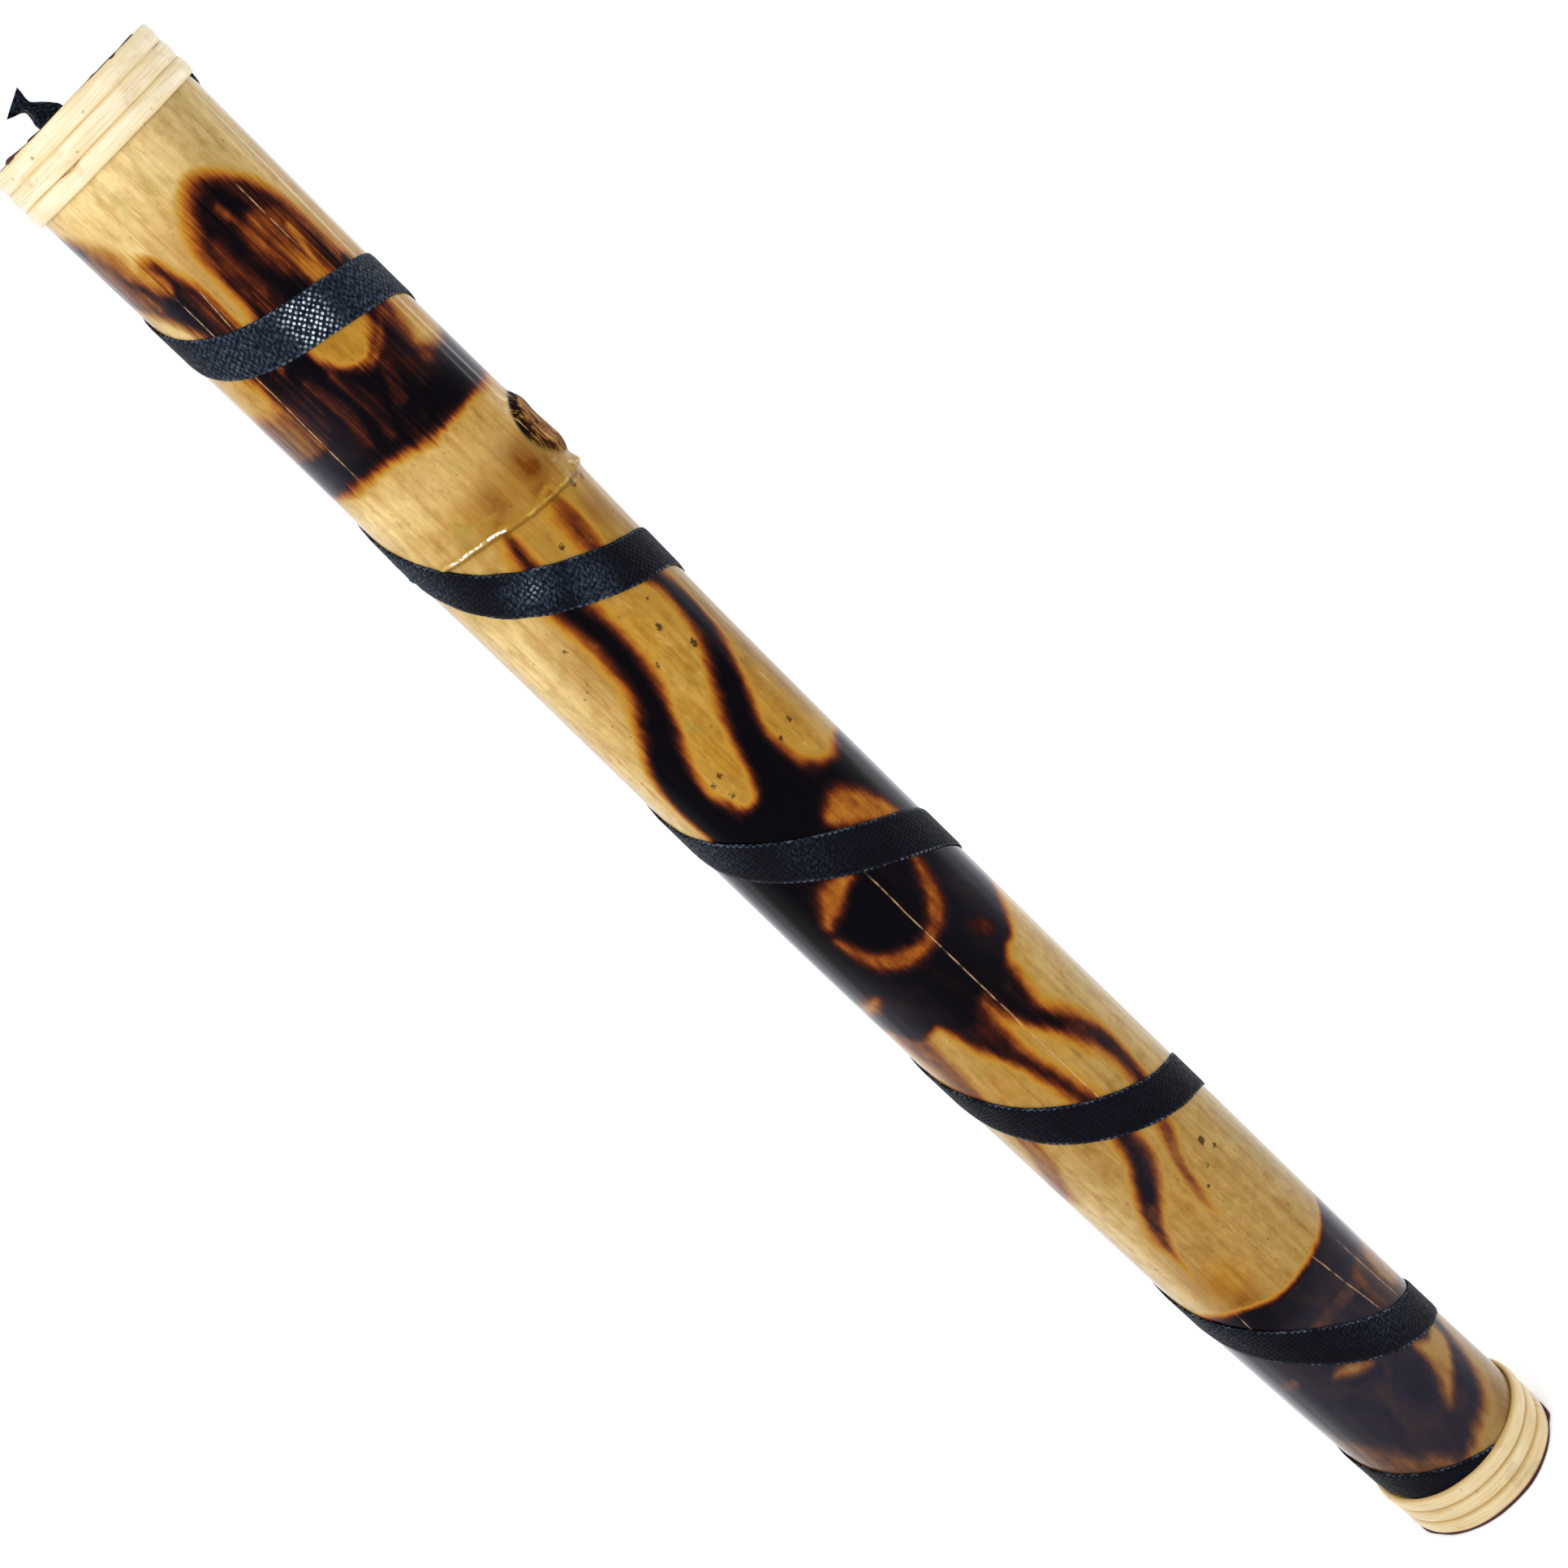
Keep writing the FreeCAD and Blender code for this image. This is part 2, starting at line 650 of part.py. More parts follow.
glue = size("strap_glue")
under = strap_face(glue)
over = strap_face(glue + size("strap_thickness"))
walls = [
    Part.makeRuledSurface(low, high) for low, high in zip(side_edges(under), side_edges(over))
]
shell = Part.makeShell([under, over] + walls)
shell.sewShape()
ribbon = Part.makeSolid(shell)
if ribbon.Volume < 0:
    ribbon.reverse()
band_room = Part.makeBox(
    100, 100, size("strap_top") - size("strap_bottom"), V(-50, -50, size("strap_bottom"))
)
strap = doc.addObject("Part::Feature", "spiral_strap")
strap.Label = "spiral_strap"
strap.Shape = ribbon.common(band_room)

# ---------------------------------------------------------------- twisted tail

# Height above the head disc, x of the centre, twist in degrees.
TAIL_STATIONS = [
    (-4.8, 0.0, 0.0),
    (0.6, 0.0, 0.0),
    (2.4, -0.6, 30.0),
    (4.2, -1.6, 62.0),
    (5.8, -2.6, 95.0),
    (7.2, -3.3, 128.0),
    (8.6, -3.8, 155.0),
    (10.4, -4.3, 172.0),
]
tail = new_body("tape_tail")
tail_sections = []
for i, (rise, drift, twist) in enumerate(TAIL_STATIONS, start=1):
    section = new_sketch(tail, f"tail_section_{i}", "XY_Plane")
    half = "Sizes.tail_width / 2"
    side = "Sizes.tail_thickness / 2"
    add_polygon(
        section,
        [(f"0 - {half}", f"0 - {side}"), (half, f"0 - {side}"), (half, side), (f"0 - {half}", side)],
    )
    section.AttachmentOffset = FreeCAD.Placement(
        V(size("tail_x") + drift, 0, size("total_length") + rise), FreeCAD.Rotation(Z_AXIS, twist)
    )
    tail_sections.append(section)
doc.recompute()
twisted = tail.newObject("PartDesign::AdditiveLoft", "tail_loft")
twisted.Profile = tail_sections[0]
twisted.Sections = tail_sections[1:]
twisted.Ruled = True
doc.recompute()

# ---------------------------------------------------------------- grains

stack_floor = size("disc_thickness") + size("plug_thickness") + size("grain_lift")
grain_rows = []
for group in range(GRAIN_GROUPS):
    grains = []
    for column in range(2):
        azimuth = math.radians(30.0 * (2 * group + column) + 15.0)
        foot = V(math.sin(azimuth), -math.cos(azimuth), 0) * size("grain_circle")
        for layer in range(GRAINS_PER_STACK):
            height = stack_floor + size("grain_radius") + layer * size("grain_pitch")
            grain = doc.addObject("Part::Sphere", f"grain_{group + 1}_{column + 1}_{layer + 1}")
            grain.setExpression("Radius", "Sizes.grain_radius")
            grain.Placement = FreeCAD.Placement(
                foot + V(size("axis_shift"), 0, height), FreeCAD.Rotation()
            )
            grains.append(grain)
    grain_row = doc.addObject("Part::Compound", f"grains_{group + 1}")
    grain_row.Label = f"grains_{group + 1}"
    grain_row.Links = grains
    grain_rows.append(grain_row)

# ---------------------------------------------------------------- checks and files

doc.recompute()
labels = ["culm", "spiral_strap", "tape_tail"]
labels += ["head_end_disc", "base_end_disc", "head_plug", "base_plug"]
labels += [body.Label for body in bands]
labels += [f"pins_turn_{turn + 1}" for turn in range(PIN_TURNS)]
labels += [row.Label for row in grain_rows]

for item in doc.Objects:
    bad = [state for state in item.State if state in ("Invalid", "Error")]
    if bad:
        raise RuntimeError(f"{item.Label} is {bad}")
for label in labels:
    shape = doc.getObjectsByLabel(label)[0].Shape
    if shape.isNull() or not shape.isValid():
        raise RuntimeError(f"{label} has no valid shape")

os.makedirs("parts", exist_ok=True)
for label in labels:
    shape = doc.getObjectsByLabel(label)[0].Shape
    shape.exportStep(f"parts/{label}.step")
    print(f"{label}: {len(shape.Solids)} solids, {shape.Volume:.1f} mm3")
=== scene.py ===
"""A torched bamboo rainstick bound with woven tape, standing on its base disc."""

import math
import random

import bmesh
import bpy
import numpy as np
from mathutils import Matrix, Vector


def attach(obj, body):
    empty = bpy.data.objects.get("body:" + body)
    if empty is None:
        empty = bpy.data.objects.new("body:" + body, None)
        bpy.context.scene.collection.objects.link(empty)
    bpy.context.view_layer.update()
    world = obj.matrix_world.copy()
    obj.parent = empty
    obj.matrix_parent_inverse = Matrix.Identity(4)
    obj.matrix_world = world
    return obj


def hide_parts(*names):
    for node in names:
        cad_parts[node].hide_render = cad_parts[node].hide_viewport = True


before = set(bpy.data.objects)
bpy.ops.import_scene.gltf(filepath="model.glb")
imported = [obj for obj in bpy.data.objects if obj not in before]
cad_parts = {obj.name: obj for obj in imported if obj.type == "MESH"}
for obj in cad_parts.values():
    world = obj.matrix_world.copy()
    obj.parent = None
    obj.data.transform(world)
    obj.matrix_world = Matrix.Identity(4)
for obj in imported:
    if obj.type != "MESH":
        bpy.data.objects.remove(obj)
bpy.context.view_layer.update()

MM = 0.001  # the design's lengths are millimetres, the scene's are metres
STICK = "stick"  # the body that everything but the rain rides on


# ---------------------------------------------------------------- camera

CAMERA_PLACE = Vector((5.1, -668.0, 495.7)) * MM
CAMERA_AIM = Vector((1.4, 0.0, 275.2)) * MM
CAMERA_ROLL = math.radians(-46.0)
CAMERA_LENS = 67.3  # mm on a 36 mm wide sensor


def make_camera():
    """A level look at the aim, then rolled about the line of sight."""
    forward = (CAMERA_AIM - CAMERA_PLACE).normalized()
    level = forward.cross(Vector((0, 0, 1))).normalized()
    upright = level.cross(forward)
    right = level * math.cos(CAMERA_ROLL) + upright * math.sin(CAMERA_ROLL)
    up = upright * math.cos(CAMERA_ROLL) - level * math.sin(CAMERA_ROLL)
    lens = bpy.data.cameras.new("camera")
    lens.sensor_width = 36.0
    lens.lens = CAMERA_LENS
    lens.clip_start = 0.01
    camera = bpy.data.objects.new("camera", lens)
    turn = Matrix((right, up, -forward)).transposed().to_4x4()
    camera.matrix_world = Matrix.Translation(CAMERA_PLACE) @ turn
    bpy.context.scene.collection.objects.link(camera)
    bpy.context.scene.camera = camera


make_camera()


# ---------------------------------------------------------------- materials

def srgb(red, green, blue):
    """A colour given as 0 to 255 screen values."""
    values = []
    for part in (red, green, blue):
        part /= 255.0
        values.append(part / 12.92 if part <= 0.04045 else ((part + 0.055) / 1.055) ** 2.4)
    return (*values, 1.0)


class Surface:
    """A Principled material. Each method adds nodes and returns an output socket.

    A colour is a socket, or its 0 to 255 screen values.
    """

    def __init__(self, name, **settings):
        self.material = bpy.data.materials.new(name)
        self.material.use_nodes = True
        self.tree = self.material.node_tree
        self.tree.nodes.clear()
        self.shader = self.tree.nodes.new("ShaderNodeBsdfPrincipled")
        output = self.tree.nodes.new("ShaderNodeOutputMaterial")
        self.tree.links.new(self.shader.outputs[0], output.inputs["Surface"])
        for socket, value in settings.items():
            self.set(socket.replace("_", " "), value)

    def join(self, node, socket, value):
        if isinstance(value, bpy.types.NodeSocket):
            self.tree.links.new(value, node.inputs[socket])
        elif value is not None:
            node.inputs[socket].default_value = value

    def set(self, socket, value):
        self.join(self.shader, socket, value)

    def node(self, kind, inputs, outlet=0, **options):
        made = self.tree.nodes.new("ShaderNode" + kind)
        for option, value in options.items():
            setattr(made, option, value)
        for socket, value in inputs.items():
            self.join(made, socket, value)
        return made.outputs[outlet]

    def place(self, stretch=(1, 1, 1)):
        """Object coordinates in millimetres, squeezed along each axis."""
        here = self.node("TexCoord", {}, "Object")
        scale = tuple(part / MM for part in stretch)
        return self.node("VectorMath", {0: here, 1: scale}, operation="MULTIPLY")

    def attribute(self, name):
        return self.node("Attribute", {}, "Fac", attribute_name=name)

    def vector(self, x, y, z=0.0):
        return self.node("CombineXYZ", {0: x, 1: y, 2: z})

    def math(self, operation, first, second=None, third=None, clamp=False):
        inputs = {0: first, 1: second, 2: third}
        return self.node("Math", inputs, operation=operation, use_clamp=clamp)

    def times(self, first, second):
        return self.math("MULTIPLY", first, second)

    def plus(self, first, second):
        return self.math("ADD", first, second)

    def swing(self, value, reach):
        """A value from 0 to 1 turned into one from -reach to reach."""
        return self.math("MULTIPLY_ADD", value, 2 * reach, -reach)

    def noise(self, where, scale, detail=2.0, roughness=0.5, distortion=0.0):
        inputs = {"Vector": where, "Scale": scale, "Detail": detail}
        inputs.update({"Roughness": roughness, "Distortion": distortion})
        return self.node("TexNoise", inputs, "Fac")

    def cells(self, where, scale, outlet="Distance", feature="F1", randomness=1.0):
        inputs = {"Vector": where, "Scale": scale, "Randomness": randomness}
        return self.node("TexVoronoi", inputs, outlet, feature=feature)

    def fade(self, value, start, end, low=0.0, high=1.0):
        """Smooth change from low to high as value goes from start to end."""
        inputs = {"Value": value, "From Min": start, "From Max": end}
        inputs.update({"To Min": low, "To Max": high})
        return self.node("MapRange", inputs, interpolation_type="SMOOTHSTEP")

    def band(self, value, middle, outer, inner, low=0.0, high=1.0):
        """high within inner of the middle, and low beyond outer."""
        away = self.math("ABSOLUTE", self.math("SUBTRACT", value, middle))
        return self.fade(away, outer, inner, low, high)

    def mix(self, share, first, second, blend="MIX"):
        made = self.tree.nodes.new("ShaderNodeMix")
        made.data_type = "RGBA"
        made.blend_type = blend
        for socket, value in ((0, share), (6, first), (7, second)):
            self.join(made, socket, srgb(*value) if isinstance(value, tuple) else value)
        return made.outputs[2]

    def ramp(self, value, *stops):
        """A colour by value. A stop is its position and its 0 to 255 screen values."""
        made = self.tree.nodes.new("ShaderNodeValToRGB")
        points = made.color_ramp.elements
        while len(points) < len(stops):
            points.new(0.5)
        for point, (position, *colour) in zip(points, stops):
            point.position = position
            point.color = srgb(*colour)
        self.join(made, 0, value)
        return made.outputs[0]

    def bump(self, height, depth, strength=1.0):
        """Relief: depth is the height, in mm, of a rise from 0 to 1."""
        inputs = {"Height": height, "Distance": depth * MM, "Strength": strength}
        self.set("Normal", self.node("Bump", inputs))


# ---------------------------------------------------------------- stage and light

SURROUND_COLOUR = (1.0, 1.03, 1.09, 1)
KEY_PLACE, KEY_AIM, KEY_SIDE, KEY_POWER = (-0.36, -0.50, 0.66), (0, 0, 0.42), 0.45, 1.9
# Two strips whose reflections run down the stick's right side: degrees round from the front.
STRIP_TURNS, STRIP_HEIGHT, STRIP_AIM = (110, 126), 0.33, (0, 0, 0.40)
STRIP_SIZE, STRIP_POWER = (0.09, 0.24), 0.30


def make_stage():
    """A white floor and a white surround."""
    side = 6.0
    mesh = bpy.data.meshes.new("floor")
    corners = [(-side, -side, 0), (side, -side, 0), (side, side, 0), (-side, side, 0)]
    mesh.from_pydata(corners, [], [(0, 1, 2, 3)])
    floor = bpy.data.objects.new("floor", mesh)
    bpy.context.scene.collection.objects.link(floor)
    paper = Surface("white_floor", Roughness=0.9, Specular_IOR_Level=0.0,
                    Emission_Color=(1, 1, 1, 1), Emission_Strength=0.13)
    grain = paper.noise(paper.place(), 0.02)
    paper.set("Base Color", paper.ramp(grain, (0.0, 250, 250, 250), (1.0, 255, 255, 255)))
    mesh.materials.append(paper.material)

    world = bpy.data.worlds.new("surround")
    world.use_nodes = True
    world.node_tree.nodes["Background"].inputs["Color"].default_value = SURROUND_COLOUR
    world.node_tree.nodes["Background"].inputs["Strength"].default_value = 1.0
    bpy.context.scene.world = world
    bpy.context.scene.view_settings.view_transform = "Standard"


def make_lamp(name, place, aim, width, height, power):
    data = bpy.data.lights.new(name, "AREA")
    data.shape = "RECTANGLE"
    data.size = width
    data.size_y = height
    data.energy = power
    lamp = bpy.data.objects.new(name, data)
    lamp.location = place
    lamp.rotation_euler = (Vector(aim) - Vector(place)).to_track_quat("-Z", "Y").to_euler()
    lamp.visible_camera = False
    bpy.context.scene.collection.objects.link(lamp)


make_stage()
make_lamp("key", KEY_PLACE, KEY_AIM, KEY_SIDE, KEY_SIDE, KEY_POWER)
for strip_turn in STRIP_TURNS:
    strip_x, strip_y = math.sin(math.radians(strip_turn)), -math.cos(math.radians(strip_turn))
    make_lamp(f"edge_{strip_turn}", (strip_x, strip_y, STRIP_HEIGHT), STRIP_AIM, *STRIP_SIZE, STRIP_POWER)


# ---------------------------------------------------------------- mesh helpers

def finish_mesh(name, points, faces, fields):
    """An object on the stick, with float fields kept on its points."""
    mesh = bpy.data.meshes.new(name)
    mesh.from_pydata([tuple(point) for point in np.reshape(points, (-1, 3)) * MM], [], faces)
    mesh.validate()
    for field, values in fields.items():
        layer = mesh.attributes.new(field, "FLOAT", "POINT")
        layer.data.foreach_set("value", np.ravel(values).astype(np.float32))
    mesh.polygons.foreach_set("use_smooth", [True] * len(mesh.polygons))
    piece = bpy.data.objects.new(name, mesh)
    bpy.context.scene.collection.objects.link(piece)
    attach(piece, STICK)
    return piece


def grid_faces(rows, columns, wrap_rows=False):
    """Quads between neighbouring rows of points. Each row closes on itself."""
    faces = []
    for i in range(rows if wrap_rows else rows - 1):
        here, there = i * columns, (i + 1) % rows * columns
        for j in range(columns):
            right = (j + 1) % columns
            faces.append((here + j, here + right, there + right, there + j))
    return faces


def capped_faces(rows, columns):
    """The same, with the first and the last row filled in."""
    last = (rows - 1) * columns
    caps = [tuple(range(columns))[::-1], tuple(range(last, last + columns))]
    return grid_faces(rows, columns) + caps


def smooth_step(value, start, end):
    share = np.clip((value - start) / (end - start), 0.0, 1.0)
    return share * share * (3.0 - 2.0 * share)


def hump(value, middle, width):
    return np.exp(-((value - middle) / width) ** 2)


class Ripple:
    """A smooth seeded wobble between about -1 and 1: a few sines of one or two variables."""

    TURN = 6.28

    def __init__(self, seed, count, most_around, most_along):
        rng = random.Random(seed)
        self.waves = [
            (rng.randint(-most_around, most_around), rng.uniform(-most_along, most_along),
             rng.uniform(0, self.TURN))
            for _ in range(count)
        ]

    def __call__(self, around, along=0.0):
        """around in degrees, along in mm (a wave's rate is turns per 100 mm)."""
        total = 0.0
        for turns, rate, phase in self.waves:
            total = total + np.sin(np.radians(around) * turns + along * rate * self.TURN / 100 + phase)
        return total / math.sqrt(len(self.waves))


# ---------------------------------------------------------------- the culm's shape

# Height, radius and sideways shift of the bamboo's middle, base to head.
CULM_SECTIONS = np.array([
    (0.8, 22.0, 0.0), (16, 22.1, -0.2), (30, 22.15, -0.6), (50, 22.35, -1.3), (80, 22.65, -1.9),
    (110, 22.8, -2.2), (150, 22.8, -2.45), (200, 22.8, -2.7), (240, 22.8, -2.7), (280, 22.65, -2.4),
    (315, 22.55, -2.0), (345, 22.65, -1.45), (362, 22.85, -1.1), (374, 23.1, -0.9), (386, 22.85, -0.75),
    (405, 22.6, -0.6), (435, 22.45, -0.45), (465, 22.65, -0.25), (486, 22.75, -0.1), (499.2, 22.75, 0.0),
])
CULM_BASE, CULM_TOP = CULM_SECTIONS[0, 0], CULM_SECTIONS[-1, 0]
CULM_MEAN_RADIUS = 22.7
CULM_BORE = 20.0
LEDGE_LOW, LEDGE_HIGH, LEDGE_BORE = 371.5, 374.0, 19.0  # what is left of the diaphragm in the node
SCAR_HEIGHT, SCAR_RISE = 370.6, 4.3  # the ring that the leaf sheath left, lower on the +X side
STUB_HEIGHT, STUB_AZIMUTH, STUB_RADIUS = 379.5, 80.0, 8.8  # the cut branch
STUB_SQUEEZE = 0.86  # under 1 for a cut that is wider than it is tall
STUB_RIM, STUB_PITH, STUB_ROUGHNESS = 1.0, 0.75, 0.14  # how far its rim, middle and splinters rise
KNOB_HEIGHT, KNOB_AZIMUTH = 367.0, 78.0  # the dry bud under it
KNOB_RISE, KNOB_TALL, KNOB_WIDE = 0.85, 1.7, 4.6
EVEN_WOBBLE, FINE_WOBBLE = 0.07, 0.025  # how far the whole surface is from round
ARC = math.radians(1) * CULM_MEAN_RADIUS  # mm of the culm's surface in one degree

even_ripple = Ripple(3, 5, 4, 0.6)
fine_ripple = Ripple(5, 14, 40, 0.9)
scar_ripple = Ripple(8, 6, 9, 0.0)
scar_waver = Ripple(12, 10, 48, 0.0)
stub_ripple = Ripple(9, 9, 24, 9.0)


def blended(height, column):
    """The sections' values, with their corners eased over a few mm."""
    eased = 0.0
    for offset, weight in ((-6, 0.15), (-3, 0.22), (0, 0.26), (3, 0.22), (6, 0.15)):
        eased = eased + weight * np.interp(height + offset, CULM_SECTIONS[:, 0], CULM_SECTIONS[:, column])
    return eased


def scar_line(azimuth):
    """Height of the sheath scar."""
    waver = 0.35 * scar_ripple(azimuth) + 0.10 * scar_waver(azimuth)
    return SCAR_HEIGHT - SCAR_RISE * np.sin(np.radians(azimuth)) + waver


def turn_between(azimuth, middle):
    """Signed degrees from middle to azimuth, the short way round."""
    return (azimuth - middle + 180.0) % 360.0 - 180.0


def stub_distance(height, azimuth):
    """Distance from the middle of the cut branch over the surface, in mm."""
    across = turn_between(azimuth, STUB_AZIMUTH) * ARC
    return np.hypot(across * STUB_SQUEEZE, height - STUB_HEIGHT + 0.06 * across)


def culm_radius(height, azimuth):
    """Radius of the bamboo's surface with its scars."""
    even, fine = even_ripple(azimuth, height), fine_ripple(azimuth, height)
    radius = blended(height, 1) + EVEN_WOBBLE * even + FINE_WOBBLE * fine
    # The sheath scar: a ridge over a hollow, a faint second line and a slow swelling above them.
    from_scar = height - scar_line(azimuth)
    ridge = 0.24 + 0.14 * scar_waver(azimuth + 40.0)
    radius = radius + ridge * hump(from_scar, 0.2, 0.7) - 0.16 * hump(from_scar, -1.1, 0.6)
    radius = radius + 0.08 * hump(from_scar, 4.6, 0.7) + 0.10 * smooth_step(from_scar, -1.5, 3.0)
    radius = radius - 0.10 * smooth_step(from_scar, 5.0, 18.0)
    from_stub = stub_distance(height, azimuth)
    rim = STUB_RIM * hump(from_stub, STUB_RADIUS - 1.6, 1.9)
    pith = STUB_PITH * smooth_step(from_stub, STUB_RADIUS - 1.0, STUB_RADIUS - 4.0)
    cut = smooth_step(from_stub, STUB_RADIUS + 0.5, STUB_RADIUS - 1.5)
    rough = STUB_ROUGHNESS * stub_ripple(azimuth, height) * cut
    knob_across = turn_between(azimuth, KNOB_AZIMUTH) * ARC
    knob = KNOB_RISE * hump(height, KNOB_HEIGHT, KNOB_TALL) * hump(knob_across, 0.0, KNOB_WIDE)
    return radius + rim + pith + rough + knob


def around(height, azimuth, radius):
    """The point at a radius from the bamboo's middle line."""
    turn = np.radians(azimuth)
    x, y = blended(height, 2) + radius * np.sin(turn), -radius * np.cos(turn)
    return np.stack([x, y, height + 0.0 * turn], axis=-1)


def on_culm(height, azimuth, clearance=0.0):
    """The point a clearance off the bamboo's surface."""
    return around(height, azimuth, culm_radius(height, azimuth) + clearance)


# ---------------------------------------------------------------- the torch marks

class Mark:
    """One pass of the torch (burnt) or a spot that it left (bare).

    Points are (height, azimuth), with the half width in mm as a third number on a path. An area
    is a closed outline. soft is the width in mm over which the mark fades, depth its limit.
    """

    def __init__(self, bare, area, soft, depth, points):
        self.sign = -1.0 if bare else 1.0
        self.area = area
        self.soft = soft
        self.depth = depth
        flat = np.array([(height, azimuth * ARC, *rest) for height, azimuth, *rest in points], dtype=float)
        self.line = rounded(flat, area)

    def reach(self, height, arc):
        """Signed distance in mm, positive inside the mark."""
        ends = zip(self.line, np.roll(self.line, -1, axis=0))
        pairs = list(ends) if self.area else list(ends)[:-1]
        nearest = np.full(height.shape, 1e9)
        inside = np.zeros(height.shape, dtype=bool)
        for start, end in pairs:
            step = end[:2] - start[:2]
            along = ((height - start[0]) * step[0] + (arc - start[1]) * step[1]) / max(step @ step, 1e-9)
            along = np.clip(along, 0.0, 1.0)
            gap = np.hypot(height - start[0] - along * step[0], arc - start[1] - along * step[1])
            if self.area:
                nearest = np.minimum(nearest, gap)
                crosses = (start[1] > arc) != (end[1] > arc)
                slope = step[0] / step[1] if step[1] else 0.0
                inside ^= crosses & (height < start[0] + (arc - start[1]) * slope)
            else:
                nearest = np.minimum(nearest, gap - (start[2] + along * (end[2] - start[2])))
        return np.where(inside, nearest, -nearest) if self.area else -nearest

    def apply(self, level, height, azimuth):
        """Blend the mark into the burn level, wherever it is near enough to matter."""
        margin = 5.0 * self.soft + 6.0
        low, high = self.line[:, :2].min(axis=0) - margin, self.line[:, :2].max(axis=0) + margin
        for turn in (-360.0, 0.0, 360.0):
            arc = (azimuth + turn) * ARC
            near = (height > low[0]) & (height < high[0]) & (arc > low[1]) & (arc < high[1])
            if not near.any():
                continue
            value = np.minimum(self.reach(height[near], arc[near]) / self.soft, self.depth)
            level[near] = blend_levels(level[near], self.sign * value, self.sign)


def rounded(points, closed, steps=5):
    """A Catmull-Rom curve through the points."""
    count = len(points)
    spans = count if closed else count - 1
    share = np.linspace(0, 1, steps, endpoint=False)[:, None]
    curve = []
    for i in range(spans):
        if closed:
            before, start, end, after = (points[(i + k) % count] for k in (-1, 0, 1, 2))
        else:
            before, start, end, after = (points[min(max(i + k, 0), count - 1)] for k in (-1, 0, 1, 2))
        curve.append(0.5 * (
            2 * start + (end - before) * share + (2 * before - 5 * start + 4 * end - after) * share ** 2
            + (3 * start - before - 3 * end + after) * share ** 3))
    return np.vstack(curve if closed else curve + [points[-1:]])


def blend_levels(first, second, sign, ease=0.35):
    """The larger level for a burn, the smaller for a bare spot, with the join eased."""
    overlap = np.maximum(ease - np.abs(first - second), 0.0) / ease
    larger = np.maximum(first * sign, second * sign) + overlap ** 2 * ease * 0.25
    return sign * larger


def burnt_path(*points, soft=1.5, depth=1.8):
    return Mark(False, False, soft, depth, points)


def burnt_area(*points, soft=1.5, depth=1.8):
    return Mark(False, True, soft, depth, points)


def bare_path(*points, soft=1.3, depth=1.6):
    return Mark(True, False, soft, depth, points)


def bare_area(*points, soft=1.3, depth=1.6):
    return Mark(True, True, soft, depth, points)


